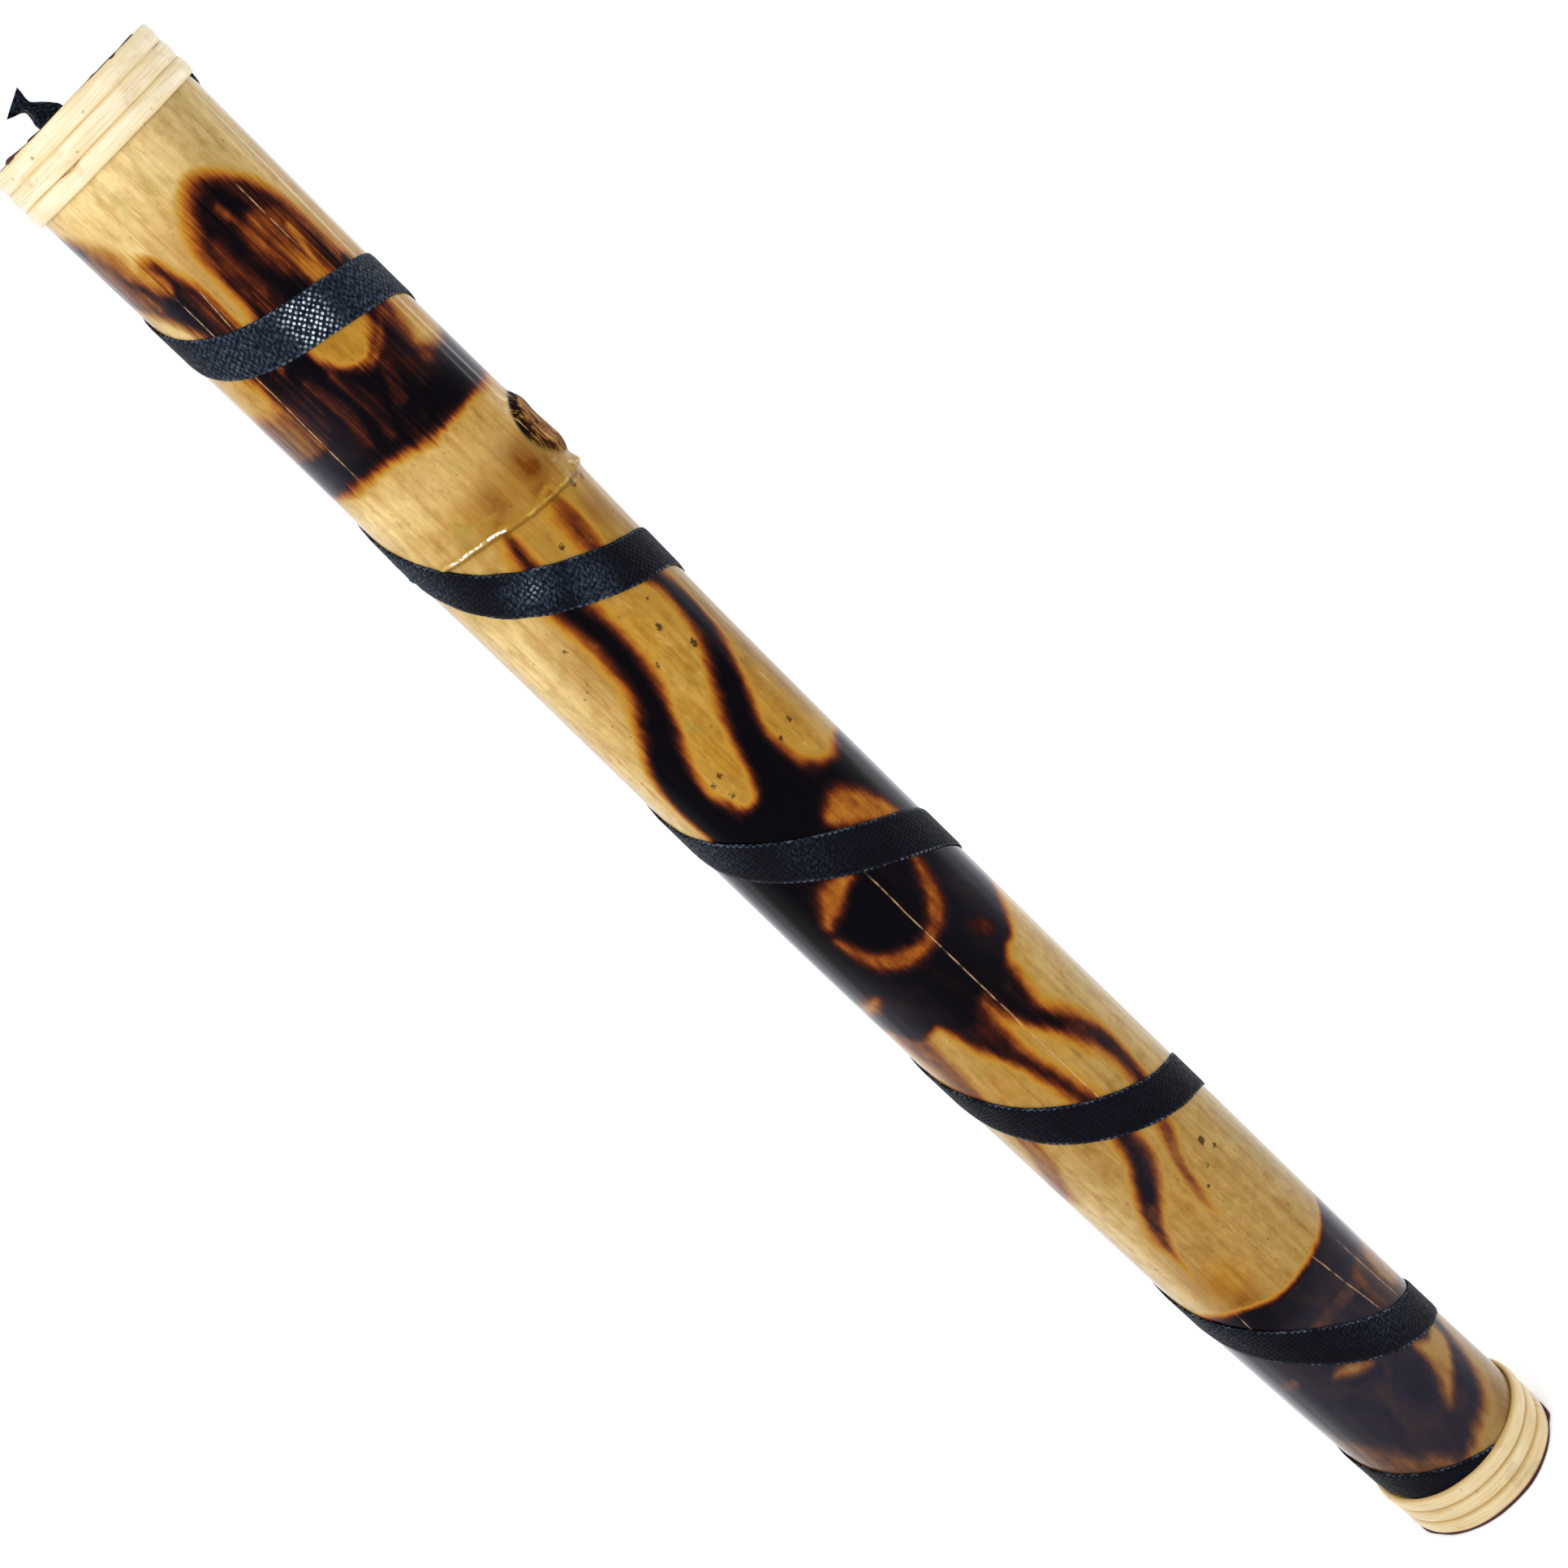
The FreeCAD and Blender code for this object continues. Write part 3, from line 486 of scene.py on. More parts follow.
TORCH_MARKS = [
    # The loop below the head.
    burnt_area((469.6, 20), (468.6, 11), (465.4, 3), (460, -5), (454, -8.5), (447, -10), (438, -14),
        (425, -18), (417, 0), (424, 44), (436, 50), (452, 49), (459, 44), (463.5, 37), (467.3, 29),
        soft=1.9, depth=1.3),
    bare_area((457, 33), (457, 20), (450, 14), (440, 22), (430, 26), (431, 38), (440, 41), (447, 44),
        (454, 41), soft=1.8, depth=0.0),
    bare_path((459, 18, 0.3), (454, 19, 0.7), (448, 20, 0.9), (444, 22, 0.6), soft=1.2, depth=0.6),
    bare_path((455, 30, 0.2), (448, 29, 0.8), (441, 29, 1.6), (434, 30, 2.0), soft=1.5, depth=0.8),
    bare_path((450, 39, 1.2), (446, 38, 1.3), (441, 34, 1.3), (436, 34, 1.8), soft=1.5, depth=1.2),
    bare_path((463.5, 16, 0.3), (460.5, 16.5, 0.6), soft=0.9, depth=0.7),
    bare_path((466, 30, 0.3), (457, 37, 0.9), (449, 46, 0.6), soft=1.6, depth=-0.35),
    bare_path((458, 1, 0.4), (448, -2, 1.4), (440, 0, 1.2), soft=1.7, depth=-0.35),
    burnt_path((453, 8, 0.9), (447, 11, 1.3), (439, 20, 1.5), soft=1.2),
    burnt_path((447, -4, 0.8), (440, -10, 1.6), (432, -14, 3.0), soft=1.6, depth=1.0),
    # Its neighbour on the left, with the arc that runs up and round the back.
    burnt_area((458, -28), (452, -25), (443, -25), (434, -28), (432, -42), (440, -41), (447, -44),
        (453, -51), (458, -62), (462, -80), (470, -84), (469, -66), (465, -54), (460, -46), (458, -39),
        (460, -33), soft=1.9, depth=0.95),
    burnt_path((464, -33, 0.5), (458, -30, 0.8), (452, -27, 0.9), soft=2.0, depth=0.1),
    burnt_path((469, -62, 1.6), (475, -78, 1.6), (478, -92, 2.0), soft=2.8, depth=-0.2),
    bare_path((474, -84, 4.0), (464, -66, 3.2), (458, -54, 1.6), soft=2.6, depth=0.1),
    bare_path((464, -35.5, 0.4), (459.5, -36, 1.2), (457.5, -38, 0.5), soft=1.1, depth=0.9),
    bare_path((456, -31, 0.3), (448, -30, 1.0), (443, -34, 1.0), soft=1.7, depth=-0.3),
    # The block across the grain below the first wrap.
    burnt_area((432, -12), (427, -6), (420, 2), (417, 14), (419, 28), (424, 40), (436, 46), (436, 56),
        (424, 51), (417, 47), (413, 41), (409.5, 50), (408.6, 60), (408.6, 110), (396.5, 110), (396.5, 40),
        (397, 12), (399, -4), (401, -24), (401.5, -50), (402, -110), (411.5, -110), (411.5, -60),
        (411.5, -42), (417, -27), (428, -27), soft=1.3, depth=1.15),
    burnt_area((408, 112), (407, 46), (408, 25), (402, 12), (401, -10), (410, -42), (411, -60),
        (411, -112), (402.5, -112), (400.6, -30), (399.4, -10), (397.9, 10), (397.3, 60), (397, 112),
        soft=1.6),
    burnt_area((434, -26), (434, -40), (411, -40), (411, -26), soft=1.2, depth=0.65),
    burnt_area((420.5, -42), (419.5, -110), (411, -110), (411, -42), soft=2.4, depth=-0.55),
    bare_area((428.5, -6), (422, -2), (418.8, 8), (418.6, 16), (421, 27), (425.5, 35), (433, 34), (434, 0),
        soft=1.3, depth=1.7),
    bare_path((424, 44, 0.6), (415, 47, 1.4), (410, 44, 1.4), soft=1.9, depth=0.25),
    bare_path((418, 60, 1.6), (411, 60, 2.0), soft=2.2, depth=1.2),
    bare_path((421, -6, 0.5), (412, -2, 0.8), (404, -6, 0.5), soft=1.4, depth=-0.45),
    bare_path((424, -20, 0.3), (414, -16, 0.8), (406, -20, 0.6), soft=1.4, depth=-0.4),
    bare_path((415, 20, 0.4), (408, 12, 0.8), soft=1.4, depth=-0.45),
    # Two stripes that run down from the second wrap and meet.
    burnt_path((370, -2, 0.3), (366, -3.5, 0.7), (362, -5, 1.0), (352, -7, 2.6), (344, -4, 2.9),
        (337, -3.2, 2.9), (330, -4.5, 2.9), (324, -7, 3.0), (317, -14, 3.5), (310, -24, 4.3),
        (304, -33, 4.6), (298, -38.5, 4.7), (291, -39.5, 4.7), (284, -35, 5.5), soft=1.5),
    burnt_path((368, 33, 0.0), (364, 33, 0.9), (359, 32, 1.3), (353, 30, 0.5), soft=2.2, depth=-0.30),
    burnt_path((343, 40, 1.4), (336, 49, 2.0), (328, 51, 2.6), (321, 48.5, 2.9), (315, 42, 3.4),
        (309, 32, 3.9), (302, 22, 3.7), (296, 15.5, 3.8), (289, 12, 4.6), (284, 10, 6.0), soft=1.6),
    # The black middle.
    burnt_area((288, 6), (284, -13), (287, -30), (285, -45), (279, -60), (276, -90), (274, -130),
        (222, -130), (216, -100), (214, -70), (209, -52), (211, -33), (206, -26), (204, -12), (209, 2),
        (205, 10), (207, 22), (212, 33), (213, 46), (217, 58), (222, 75), (226, 110), (270, 120),
        (276, 90), (277, 66), (275.5, 52), (278, 38), (283, 26), (290, 20), soft=1.5),
    bare_area((271.5, 30), (268.5, 11), (262, 24), (255, 44), (253.5, 55), (262, 49), soft=1.8,
        depth=0.85),
    bare_path((255, -2, 0.8), (255.5, -10, 2.0), (254, -19, 2.7), (251.5, -27, 1.8), (248.5, -35, 0.8),
        soft=1.9, depth=0.48),
    bare_path((247, 37, 0.3), (240, 31, 0.9), (235.5, 25, 1.7), (231.8, 16, 1.6), (229.8, 5, 1.3),
        (229.6, -7, 1.5), (230.8, -17, 2.0), (233.5, -27, 1.7), (238, -34, 1.1), (244, -38, 0.4), soft=1.9,
        depth=0.32),
    bare_path((222, 32, 0.6), (219, 36, 0.8), soft=2.2, depth=-0.3),
    bare_path((225, -50, 0.8), (223.5, -60, 2.0), (222, -72, 2.6), (222, -84, 2.0), soft=1.8, depth=1.3),
    # Two stripes out of it, down to the fourth wrap and past it.
    burnt_path((208, 14, 5.0), (203, 14, 4.0), (198, 14.5, 2.4), (193.5, 18, 1.9), (188.5, 24.5, 2.0),
        (184, 30, 2.1), (179, 34.5, 2.0), (173, 37, 1.7), (166, 36, 1.3), (160, 33, 1.0), (152, 25, 0.6),
        soft=1.7, depth=0.95),
    burnt_path((152, 25, 0.5), (146.5, 18.5, 0.4), (141, 12.5, 0.3), (136, 9, 0.1), (130, 6, -0.3),
        (126, 5, -0.9), (122, 5, -1.6), soft=1.5, depth=-0.35),
    burnt_path((208, -14, 5.0), (203, -15, 4.2), (198, -13, 2.9), (193, -11, 1.8), (188, -8, 1.4),
        (182, -5, 1.3), (174, -1.5, 1.3), (164, 0, 1.4), (157, -1, 1.6), (151, -2.8, 2.1),
        (146, -7.5, 2.5), (141, -15, 2.4), (136, -22.5, 1.9), (131, -29, 1.2), (126, -33, 0.4),
        (121, -35, -0.4), (116, -37, -1.2), (111, -40, -2.0), soft=1.7, depth=0.85),
    bare_path((186, 28, 0.6), (178, 35, 1.2), (170, 37, 1.2), (160, 33, 1.0), soft=1.8, depth=-0.55),
    bare_path((192, -9, 0.6), (184, -6, 1.0), (172, -1, 1.2), (160, 0, 1.0), soft=1.8, depth=-0.50),
    bare_path((136, -22, 0.8), (128, -31, 1.2), (120, -34, 1.2), soft=2.0, depth=-0.1),
    burnt_path((209, -57, 3.5), (203, -55, 1.6), (196, -55, 1.0), (186, -56, 0.6), soft=2.8, depth=-0.35),
    burnt_path((172, -51, 0.8), (164, -54, 1.2), (157, -61, 1.0), (150, -72, 0.8), soft=2.4, depth=-0.4),
    # The block above the base.
    burnt_area((93.5, 110), (93.2, 40), (93.2, 6), (93.7, -9), (94.9, -20), (96.0, -31), (96.6, -60),
        (97.4, -110), (56, -110), (54, 0), (56, 110), soft=1.15),
    burnt_area((70, 110), (70, -110), (18, -110), (19, -66), (20, -46), (20, -33), (20, -22), (19.5, -10),
        (20.3, 0), (22.5, 9), (24.6, 20), (25.5, 31), (28, 43), (31.5, 50), (37, 58), (46.5, 72),
        (52, 110), soft=2.3, depth=1.6),
    bare_area((47, -84), (42, -62), (36.5, -46), (29, -30), (23, -12), (10, -12), (10, -84), soft=4.5,
        depth=0.12),
    bare_path((31, -80, 0.8), (29.5, -50, 0.6), (26, -36, 0.3), soft=2.0, depth=0.6),
    bare_area((79.5, 84), (78.8, 62), (78.2, 45), (74, 39), (67, 38), (62, 46), (60, 84), soft=3.0,
        depth=-0.3),
    bare_area((78, 88), (77.5, 68), (76, 59), (70, 56), (64, 60), (61, 88), soft=3.4, depth=0.6),
    bare_path((77.6, 60, 1.3), (77.4, 40, 1.1), (78.6, 28, 0.9), (79.3, 16, 0.8), (79.2, 0, 0.7),
        (79, -7, 1.0), soft=2.4, depth=-0.30),
    burnt_path((24, 16, 0.0), (16, 17, 0.0), soft=0.25, depth=0.1),
    bare_path((60.8, 2, 0.5), (62.6, -6, 1.8), (64.2, -14, 1.7), (64.4, -21, 0.8), soft=2.0, depth=0.75),
    bare_path((68.5, -46, 0.4), (66.5, -57, 1.0), soft=2.0, depth=-0.1),
    bare_area((55, 31), (50, 43), (50, 57), (45, 59), (40.5, 51), (37.8, 38), (35.3, 26), (33.4, 15),
        (37, 18.5), (41.5, 25), (46, 29.5), soft=2.0, depth=1.15),
]

# The back, which carries the same motifs: stripes between the blocks, turned round the stick.
BACK_MARKS = [
    burnt_path((476, -70, 1.6), (479, -92, 2.2), (476, -116, 3.0), (467, -131, 3.6), (456, -134, 3.6),
        (446, -126, 2.8), (440, -110, 1.6), soft=1.7),
    burnt_area((462, 186), (450, 178), (432, 184), (405, 180), (405, 250), (428, 236), (444, 224),
        (456, 208), soft=1.7),
    burnt_path((452, 128, 2.0), (440, 122, 3.2), (428, 126, 3.0), (414, 134, 3.0), (404, 136, 4.0),
        soft=1.7),
    bare_path((446, 204, 1.4), (430, 208, 2.6), (420, 204, 1.0), soft=2.0, depth=0.6),
    burnt_area((408.6, 105), (409, 140), (412, 180), (411, 255), (400, 255), (397, 200), (394, 160),
        (396.5, 105), soft=1.2),
    burnt_path((356, 205, 1.0), (347, 200, 2.4), (336, 203, 2.9), (326, 212, 3.4), (316, 222, 4.0),
        (306, 226, 4.4), (294, 220, 5.0), (282, 210, 6.0), soft=1.5),
    burnt_path((350, 132, 1.0), (338, 128, 2.4), (327, 133, 3.0), (317, 143, 3.4), (307, 150, 3.8),
        (296, 152, 4.4), (284, 158, 6.0), soft=1.5),
    burnt_area((276, 108), (283, 130), (288, 155), (284, 180), (288, 205), (284, 230), (276, 250),
        (222, 250), (214, 225), (216, 195), (211, 170), (215, 140), (224, 108), soft=1.5),
    bare_path((262, 150, 0.4), (254, 141, 1.2), (245, 143, 1.3), (238, 155, 1.4), (238, 172, 1.0),
        (244, 184, 0.4), soft=1.3, depth=0.3),
    bare_path((258, 214, 0.8), (250, 208, 2.0), (242, 214, 1.0), soft=1.6, depth=0.6),
    burnt_path((218, 168, 4.0), (206, 170, 3.0), (197, 178, 2.4), (187, 186, 2.3), (176, 189, 2.2),
        (160, 184, 2.0), (146, 176, 2.4), (136, 164, 2.4), (127, 158, 1.0), soft=1.5, depth=1.3),
    burnt_path((216, 138, 3.0), (205, 132, 2.2), (193, 130, 2.2), (181, 135, 2.4), (168, 144, 1.8),
        (156, 148, 0.8), soft=1.6, depth=1.2),
    burnt_path((213, 226, 3.0), (200, 232, 2.2), (187, 231, 2.0), (172, 224, 2.4), (158, 222, 1.8),
        (146, 226, 0.8), soft=1.6, depth=1.2),
    burnt_area((92.8, 105), (94, 150), (91, 190), (96, 225), (98, 255), (40, 255), (34, 232), (22, 206),
        (24, 176), (36, 150), (30, 128), (52, 105), soft=1.3),
    bare_path((78, 128, 0.5), (70, 134, 2.0), (60, 132, 1.6), (52, 124, 0.5), soft=1.6, depth=0.6),
    bare_area((62, 186), (54, 176), (44, 182), (34, 196), (42, 204), (54, 200), soft=1.6, depth=0.9),
]


# What the attributes hold where there is nothing to show.
UNBURNT, NO_SPOT, NO_SCRATCH, NO_SCAR = -4.0, -2.0, 3.0, 9.0


def burn_levels(height, azimuth):
    """How far each point is burnt: under -1 bare, 0 the brown edge, over 1 black."""
    level = np.full(height.shape, UNBURNT)
    for mark in TORCH_MARKS + BACK_MARKS:
        mark.apply(level, height, azimuth)
    return level


# Soft patches, by the attribute that they fill: height, azimuth, reach along the grain, reach
# across it, strength.
PATCHES = {
    "stain": [  # Brown stains round the node.
        (375, 22, 6.0, 12, 0.36), (374, -14, 4.5, 8, 0.22), (358, 44, 9, 7, 0.34), (98, -26, 6, 5.5, 0.7),
        (112, -38, 13, 0.7, 0.5), (376.5, 38, 6.2, 4.8, 1.08), (371.5, 31, 3.4, 3.8, 0.8),
        (380, 45, 4.0, 3.0, 0.5), (376.5, 6, 5.6, 3.6, 0.75), (372.5, 0, 3.0, 2.2, 0.7),
        (358, 31, 7.0, 3.0, 0.6), (374, 50, 5.0, 4.0, 0.6), (358, 50, 7.0, 6.0, 0.5),
        (367, -12, 2.2, 5.0, 0.35), (362, 14, 6.0, 6.0, 0.32), (334, -22, 14, 6.0, 0.22),
        (424, 6, 8.0, 9.0, 0.12), (458, -14, 10, 3.0, 0.25), (384, 74, 9.0, 6.0, 0.4),
        (345, 16, 3.0, 2.0, 0.45), (353, 32, 2.0, 1.8, 0.7), (104, -30, 8.0, 4.0, 0.45),
        (112, -38, 16.0, 4.5, 0.3), (20, 40, 5.0, 8.0, 0.2), (372, 190, 6.0, 9.0, 0.5),
        (362, 150, 8.0, 6.0, 0.5),
    ],
    "painted_haze": [  # Painted reflection: black greyed and blued, as the white surround would show in the varnish.
        (84, 30, 14, 20, 0.7), (50, 0, 30, 22, 0.8), (40, 30, 24, 16, 0.8), (56, -50, 22, 12, 0.5),
        (406, -58, 7, 9, 0.8), (225, 50, 20, 12, 0.35), (216, -48, 14, 9, 0.4), (60, 190, 26, 24, 0.6),
    ],
    "pale_and_highlight": [  # Paler bamboo, partly painted highlight: the head and the sides brightened as if lit.
        (492, -10, 24, 34, 0.75), (478, 60, 24, 14, 0.5), (470, -30, 26, 16, 0.45),
        (447, -58, 10, 8, 0.55), (388, 28, 7, 10, 0.28), (390, -10, 8, 18, 0.40), (390, -50, 9, 16, 0.65),
        (372, -62, 16, 9, 0.45), (388, 66, 6, 8, 0.5), (345, -55, 40, 14, 0.50), (300, -64, 30, 8, 0.45),
        (480, 80, 30, 8, 0.5), (190, 66, 40, 10, 0.30), (200, -56, 16, 8, 0.25), (130, -62, 40, 10, 0.40),
        (120, 66, 40, 9, 0.25), (480, 180, 22, 40, 0.5), (388, 180, 10, 50, 0.4),
        (330, 180, 40, 30, 0.25), (140, 180, 40, 30, 0.25),
    ],
    "golden": [  # Bamboo toasted to gold between the marks.
        (304, -6, 14, 7, 0.55), (334, 15, 14, 10, 0.45), (424, 10, 10, 10, 0.6), (390, 15, 8, 20, 0.35),
        (195, 10, 14, 6, 0.4), (185, -32, 16, 8, 0.35), (105, -25, 11, 7, 0.85), (332, -22, 12, 6, 0.45),
        (300, 45, 14, 8, 0.4), (460, -16, 12, 5, 0.4), (362, 15, 8, 12, 0.3), (135, -8, 20, 10, 0.25),
        (300, 190, 20, 12, 0.4), (180, 200, 20, 14, 0.4), (420, 215, 14, 10, 0.4),
    ],
    "painted_shade": [  # Painted shade: duller, darker bamboo, mostly down the right side, where less light falls.
        (478, 42, 18, 8, 0.32), (330, 62, 34, 7, 0.50), (120, 62, 36, 7, 0.40), (330, -24, 16, 8, 0.12),
        (468, 66, 20, 6, 0.25), (300, 70, 20, 8, 0.35), (190, 62, 24, 8, 0.3), (20, 60, 10, 10, 0.3),
    ],
    "sooty": [  # Scorch that is brown and grey rather than orange.
        (416, -62, 9, 12, 0.9), (450, -60, 14, 9, 0.7), (470, -74, 14, 10, 0.8), (412, 64, 8, 8, 0.7),
        (222, -74, 10, 10, 0.6), (330, 58, 14, 5, 0.6), (70, 60, 14, 12, 1.0), (138, 6, 22, 14, 0.45),
        (130, -28, 12, 6, 0.45), (200, -58, 16, 8, 0.8), (160, -60, 12, 8, 0.8), (172, 36, 12, 5, 0.4),
    ],
}
# Small dark spots: height, azimuth, radius in mm.
SPOTS = [
    (365.8, 53, 0.9), (364.5, 65, 0.6), (359, 16, 0.6), (356, 33, 0.5), (329.8, 24, 0.8),
    (320.8, 33, 0.9), (341.2, -26, 0.5), (336, 32, 0.4), (338.5, 11, 0.4), (324, 7, 0.5),
    (295.2, -13.5, 0.6), (294.2, -20.5, 0.6), (289.5, -16.5, 0.6), (290.8, 43.5, 0.7), (290.2, 29, 0.6),
    (307, 24, 0.4), (138.3, 32.5, 1.0), (134.2, 36.8, 0.6), (133.4, 22.5, 0.5), (129.7, 13.5, 0.45),
    (342, 212, 0.6), (186, 158, 0.8), (120, 196, 0.9), (330, 170, 0.6),
]
# Bright scratches along the grain: height and azimuth at each end.
SCRATCHES = [
    ((431, -28), (411, -30)), ((431, -32), (412, -33.5)), ((432, -35), (411, -36)), ((253, 6), (166, 6)),
    ((465, 34), (446, 34)), ((456, -38), (401.5, -41)), ((87, 51), (62, 54)), ((94, 27), (67, 34)),
    ((97, -36), (89, -37)), ((455, -24), (443, -27)), ((431, 172), (398, 171)), ((88, 206), (44, 204)),
    ((262, 232), (224, 231)),
]


def patch_levels(patches, height, azimuth):
    """The strongest of the soft round patches at each point."""
    total = np.zeros(height.shape)
    for middle, turn, tall, wide, strength in patches:
        across = turn_between(azimuth, turn) * ARC / wide
        total = np.maximum(total, strength * np.exp(-(((height - middle) / tall) ** 2 + across ** 2)))
    return total


def fringe_levels(height):
    """How far the scorch runs along the fibres: most round the head's marks."""
    return 0.12 + 0.23 * smooth_step(height, 90.0, 140.0) + 0.65 * smooth_step(height, 380.0, 392.0)


def scar_glint_span_levels(azimuth):
    """The front span of the sheath scar, where a white highlight is painted along its crest and the second
    faint line shows.
    """
    return smooth_step(azimuth, -42.0, -32.0) * smooth_step(azimuth, 6.0, 2.0)


def spot_levels(height, azimuth):
    """Positive inside a spot, in mm from its edge."""
    best = np.full(height.shape, NO_SPOT)
    for middle, turn, radius in SPOTS:
        across = turn_between(azimuth, turn) * ARC
        best = np.maximum(best, radius - np.hypot(across, (height - middle) * 0.8))
    return best


def scratch_levels(height, azimuth):
    """Signed distance across the nearest scratch, and how strong the scratch is there."""
    offset = np.full(height.shape, NO_SCRATCH)
    strength = np.zeros(height.shape)
    for (top, turn_top), (low, turn_low) in SCRATCHES:
        share = np.clip((top - height) / (top - low), 0.0, 1.0)
        across = turn_between(azimuth, turn_top + share * (turn_low - turn_top)) * ARC
        ends = smooth_step(height, low - 2.0, low + 4.0) * smooth_step(height, top + 2.0, top - 4.0)
        near = (np.abs(across) < 2.5) & (ends > 0)
        offset[near] = across[near]
        strength[near] = ends[near] * (np.abs(across[near]) < 1.6)
    return offset, strength


# ---------------------------------------------------------------- the culm

COLUMNS = 184
# Heights of the rings of points, closer together over the node's scars.
RING_HEIGHTS = np.concatenate([
    np.linspace(CULM_BASE, 361.0, 316, endpoint=False),
    np.linspace(361.0, 391.0, 82, endpoint=False),
    np.linspace(391.0, CULM_TOP, 98),
])
# The bore's rings of points, with a pair at each edge of the ledge.
INNER_HEIGHTS = np.concatenate([
    np.linspace(CULM_TOP, LEDGE_HIGH + 0.2, 5), (LEDGE_HIGH, LEDGE_LOW),
    np.linspace(LEDGE_LOW - 0.2, CULM_BASE, 14),
])
PALE_BORE = 0.3  # how pale the bamboo is inside


class CulmSurface(Surface):
    """Torched, varnished bamboo, from the bare grain up to the cut branch."""

    def __init__(self):
        super().__init__("torched_bamboo", Coat_Roughness=0.135, Coat_IOR=1.34, Specular_IOR_Level=0.0)
        self.height = self.node("SeparateXYZ", {0: self.place()}, "Z")
        self.fibre = self.noise(self.place((1, 1, 0.022)), 1.25, 3.0, 0.6)
        self.strand = self.noise(self.place((1, 1, 0.03)), 0.42, 2.0, 0.5)
        self.patch = self.noise(self.place((1, 1, 0.40)), 0.07, 2.0, 0.5)
        self.mottle = self.noise(self.place((1, 1, 0.6)), 0.35, 3.0, 0.6)
        self.blotch = self.noise(self.place((1, 1, 0.5)), 0.13, 3.0, 0.6, 0.8)
        self.bark = self.noise(self.place((1, 1, 0.30)), 0.8, 4.0, 0.65, 0.8)
        self.crumb = self.noise(self.place(), 1.6, 2.0)
        self.stub = self.attribute("stub")
        self.level = self.burn_level()
        waver = self.swing(self.noise(self.place((0.2, 0.2, 0.12)), 1.0), 0.25)
        line = self.band(self.plus(self.attribute("scratch_offset"), waver), 0.0, 0.26, 0.08)
        self.scratch_line = self.times(line, self.attribute("scratch"))

        colour = self.mix(self.fade(self.level, -2.2, -1.1), self.bare_colour(), self.burnt_colour())
        colour = self.add_spots(colour)
        colour = self.add_scratches(colour)
        colour = self.add_scar(colour)
        self.set("Base Color", self.add_stub(colour))
        self.set("Roughness", self.fade(self.level, -1.0, 1.0, 0.55, 0.40))
        facing = self.node("LayerWeight", {"Blend": 0.5}, "Facing")
        varnish = self.fade(facing, 0.22, 0.80, 0.10, 1.0)
        self.set("Coat Weight", self.times(varnish, self.fade(self.stub, 0.0, 0.6, 1.0, 0.12)))
        relief = self.math("MULTIPLY_ADD", self.fibre, 0.5, self.times(self.strand, 0.7))
        relief = self.plus(relief, self.times(self.bark, self.times(self.stub, 5.0)))
        self.bump(self.math("SUBTRACT", relief, self.times(self.scratch_line, 0.5)), 0.06)

    def burn_level(self):
        """The torch's level, spread by patches of bamboo and broken up along the fibres."""
        spread = self.times(self.attribute("burn"), self.fade(self.patch, 0.36, 0.64, 1.45, 0.75))
        streaks = self.times(self.swing(self.fibre, 1.1), self.attribute("fringe"))
        clouds = self.plus(self.swing(self.mottle, 0.65), self.swing(self.strand, 0.4))
        return self.plus(self.plus(spread, streaks), clouds)

    def bare_colour(self):
        colour = self.ramp(self.patch, (0.34, 164, 122, 44), (0.50, 176, 136, 58), (0.66, 184, 146, 74))
        # Painted shade: the bamboo darker and duller towards the base, away from the lamp at the head.
        colour = self.mix(self.fade(self.height, 250, 150, 0.0, 0.75), colour, (166, 134, 80))
        colour = self.mix(self.fade(self.height, 62, 30, 0.0, 0.55), colour, (138, 114, 76))
        # Tints: paler bamboo with painted highlight on the head and the sides, toasted gold, and painted
        # shade down the right side.
        tints = {"pale_and_highlight": (250, 228, 172), "golden": (176, 126, 36), "painted_shade": (112, 92, 60)}
        for field, tint in tints.items():
            colour = self.mix(self.attribute(field), colour, tint)
        grain = self.ramp(self.fibre, (0.32, 205, 180, 140), (0.52, 255, 255, 255))
        colour = self.mix(0.35, colour, grain, "MULTIPLY")
        bands = self.ramp(self.strand, (0.36, 214, 186, 140), (0.56, 255, 252, 246))
        colour = self.mix(0.35, colour, bands, "MULTIPLY")
        fleck = self.noise(self.place((1, 1, 0.22)), 0.75, 2.0, 0.7, 0.5)
        colour = self.mix(self.fade(fleck, 0.60, 0.74, 0.0, 0.45), colour, (134, 96, 38))
        colour = self.mix(self.fade(fleck, 0.40, 0.27, 0.0, 0.15), colour, (232, 204, 140))
        clumps = self.ramp(self.mottle, (0.30, 196, 172, 124), (0.58, 255, 255, 250))
        colour = self.mix(0.50, colour, clumps, "MULTIPLY")
        colour = self.mix(self.fade(self.blotch, 0.52, 0.72, 0.0, 0.40), colour, (150, 132, 62))
        pores = self.cells(self.place((1, 1, 0.7)), 0.42)
        chance = self.noise(self.place((1.3, 1.3, 1.3)), 0.16, 1.0)
        pore = self.times(self.fade(pores, 0.20, 0.08), self.fade(chance, 0.55, 0.64, 0.0, 0.6))
        colour = self.mix(pore, colour, (104, 70, 26))
        uneven = self.fade(self.mottle, 0.25, 0.62, 0.55, 1.15)
        stained = self.math("MULTIPLY", self.attribute("stain"), uneven, clamp=True)
        return self.mix(stained, colour, (108, 54, 8))

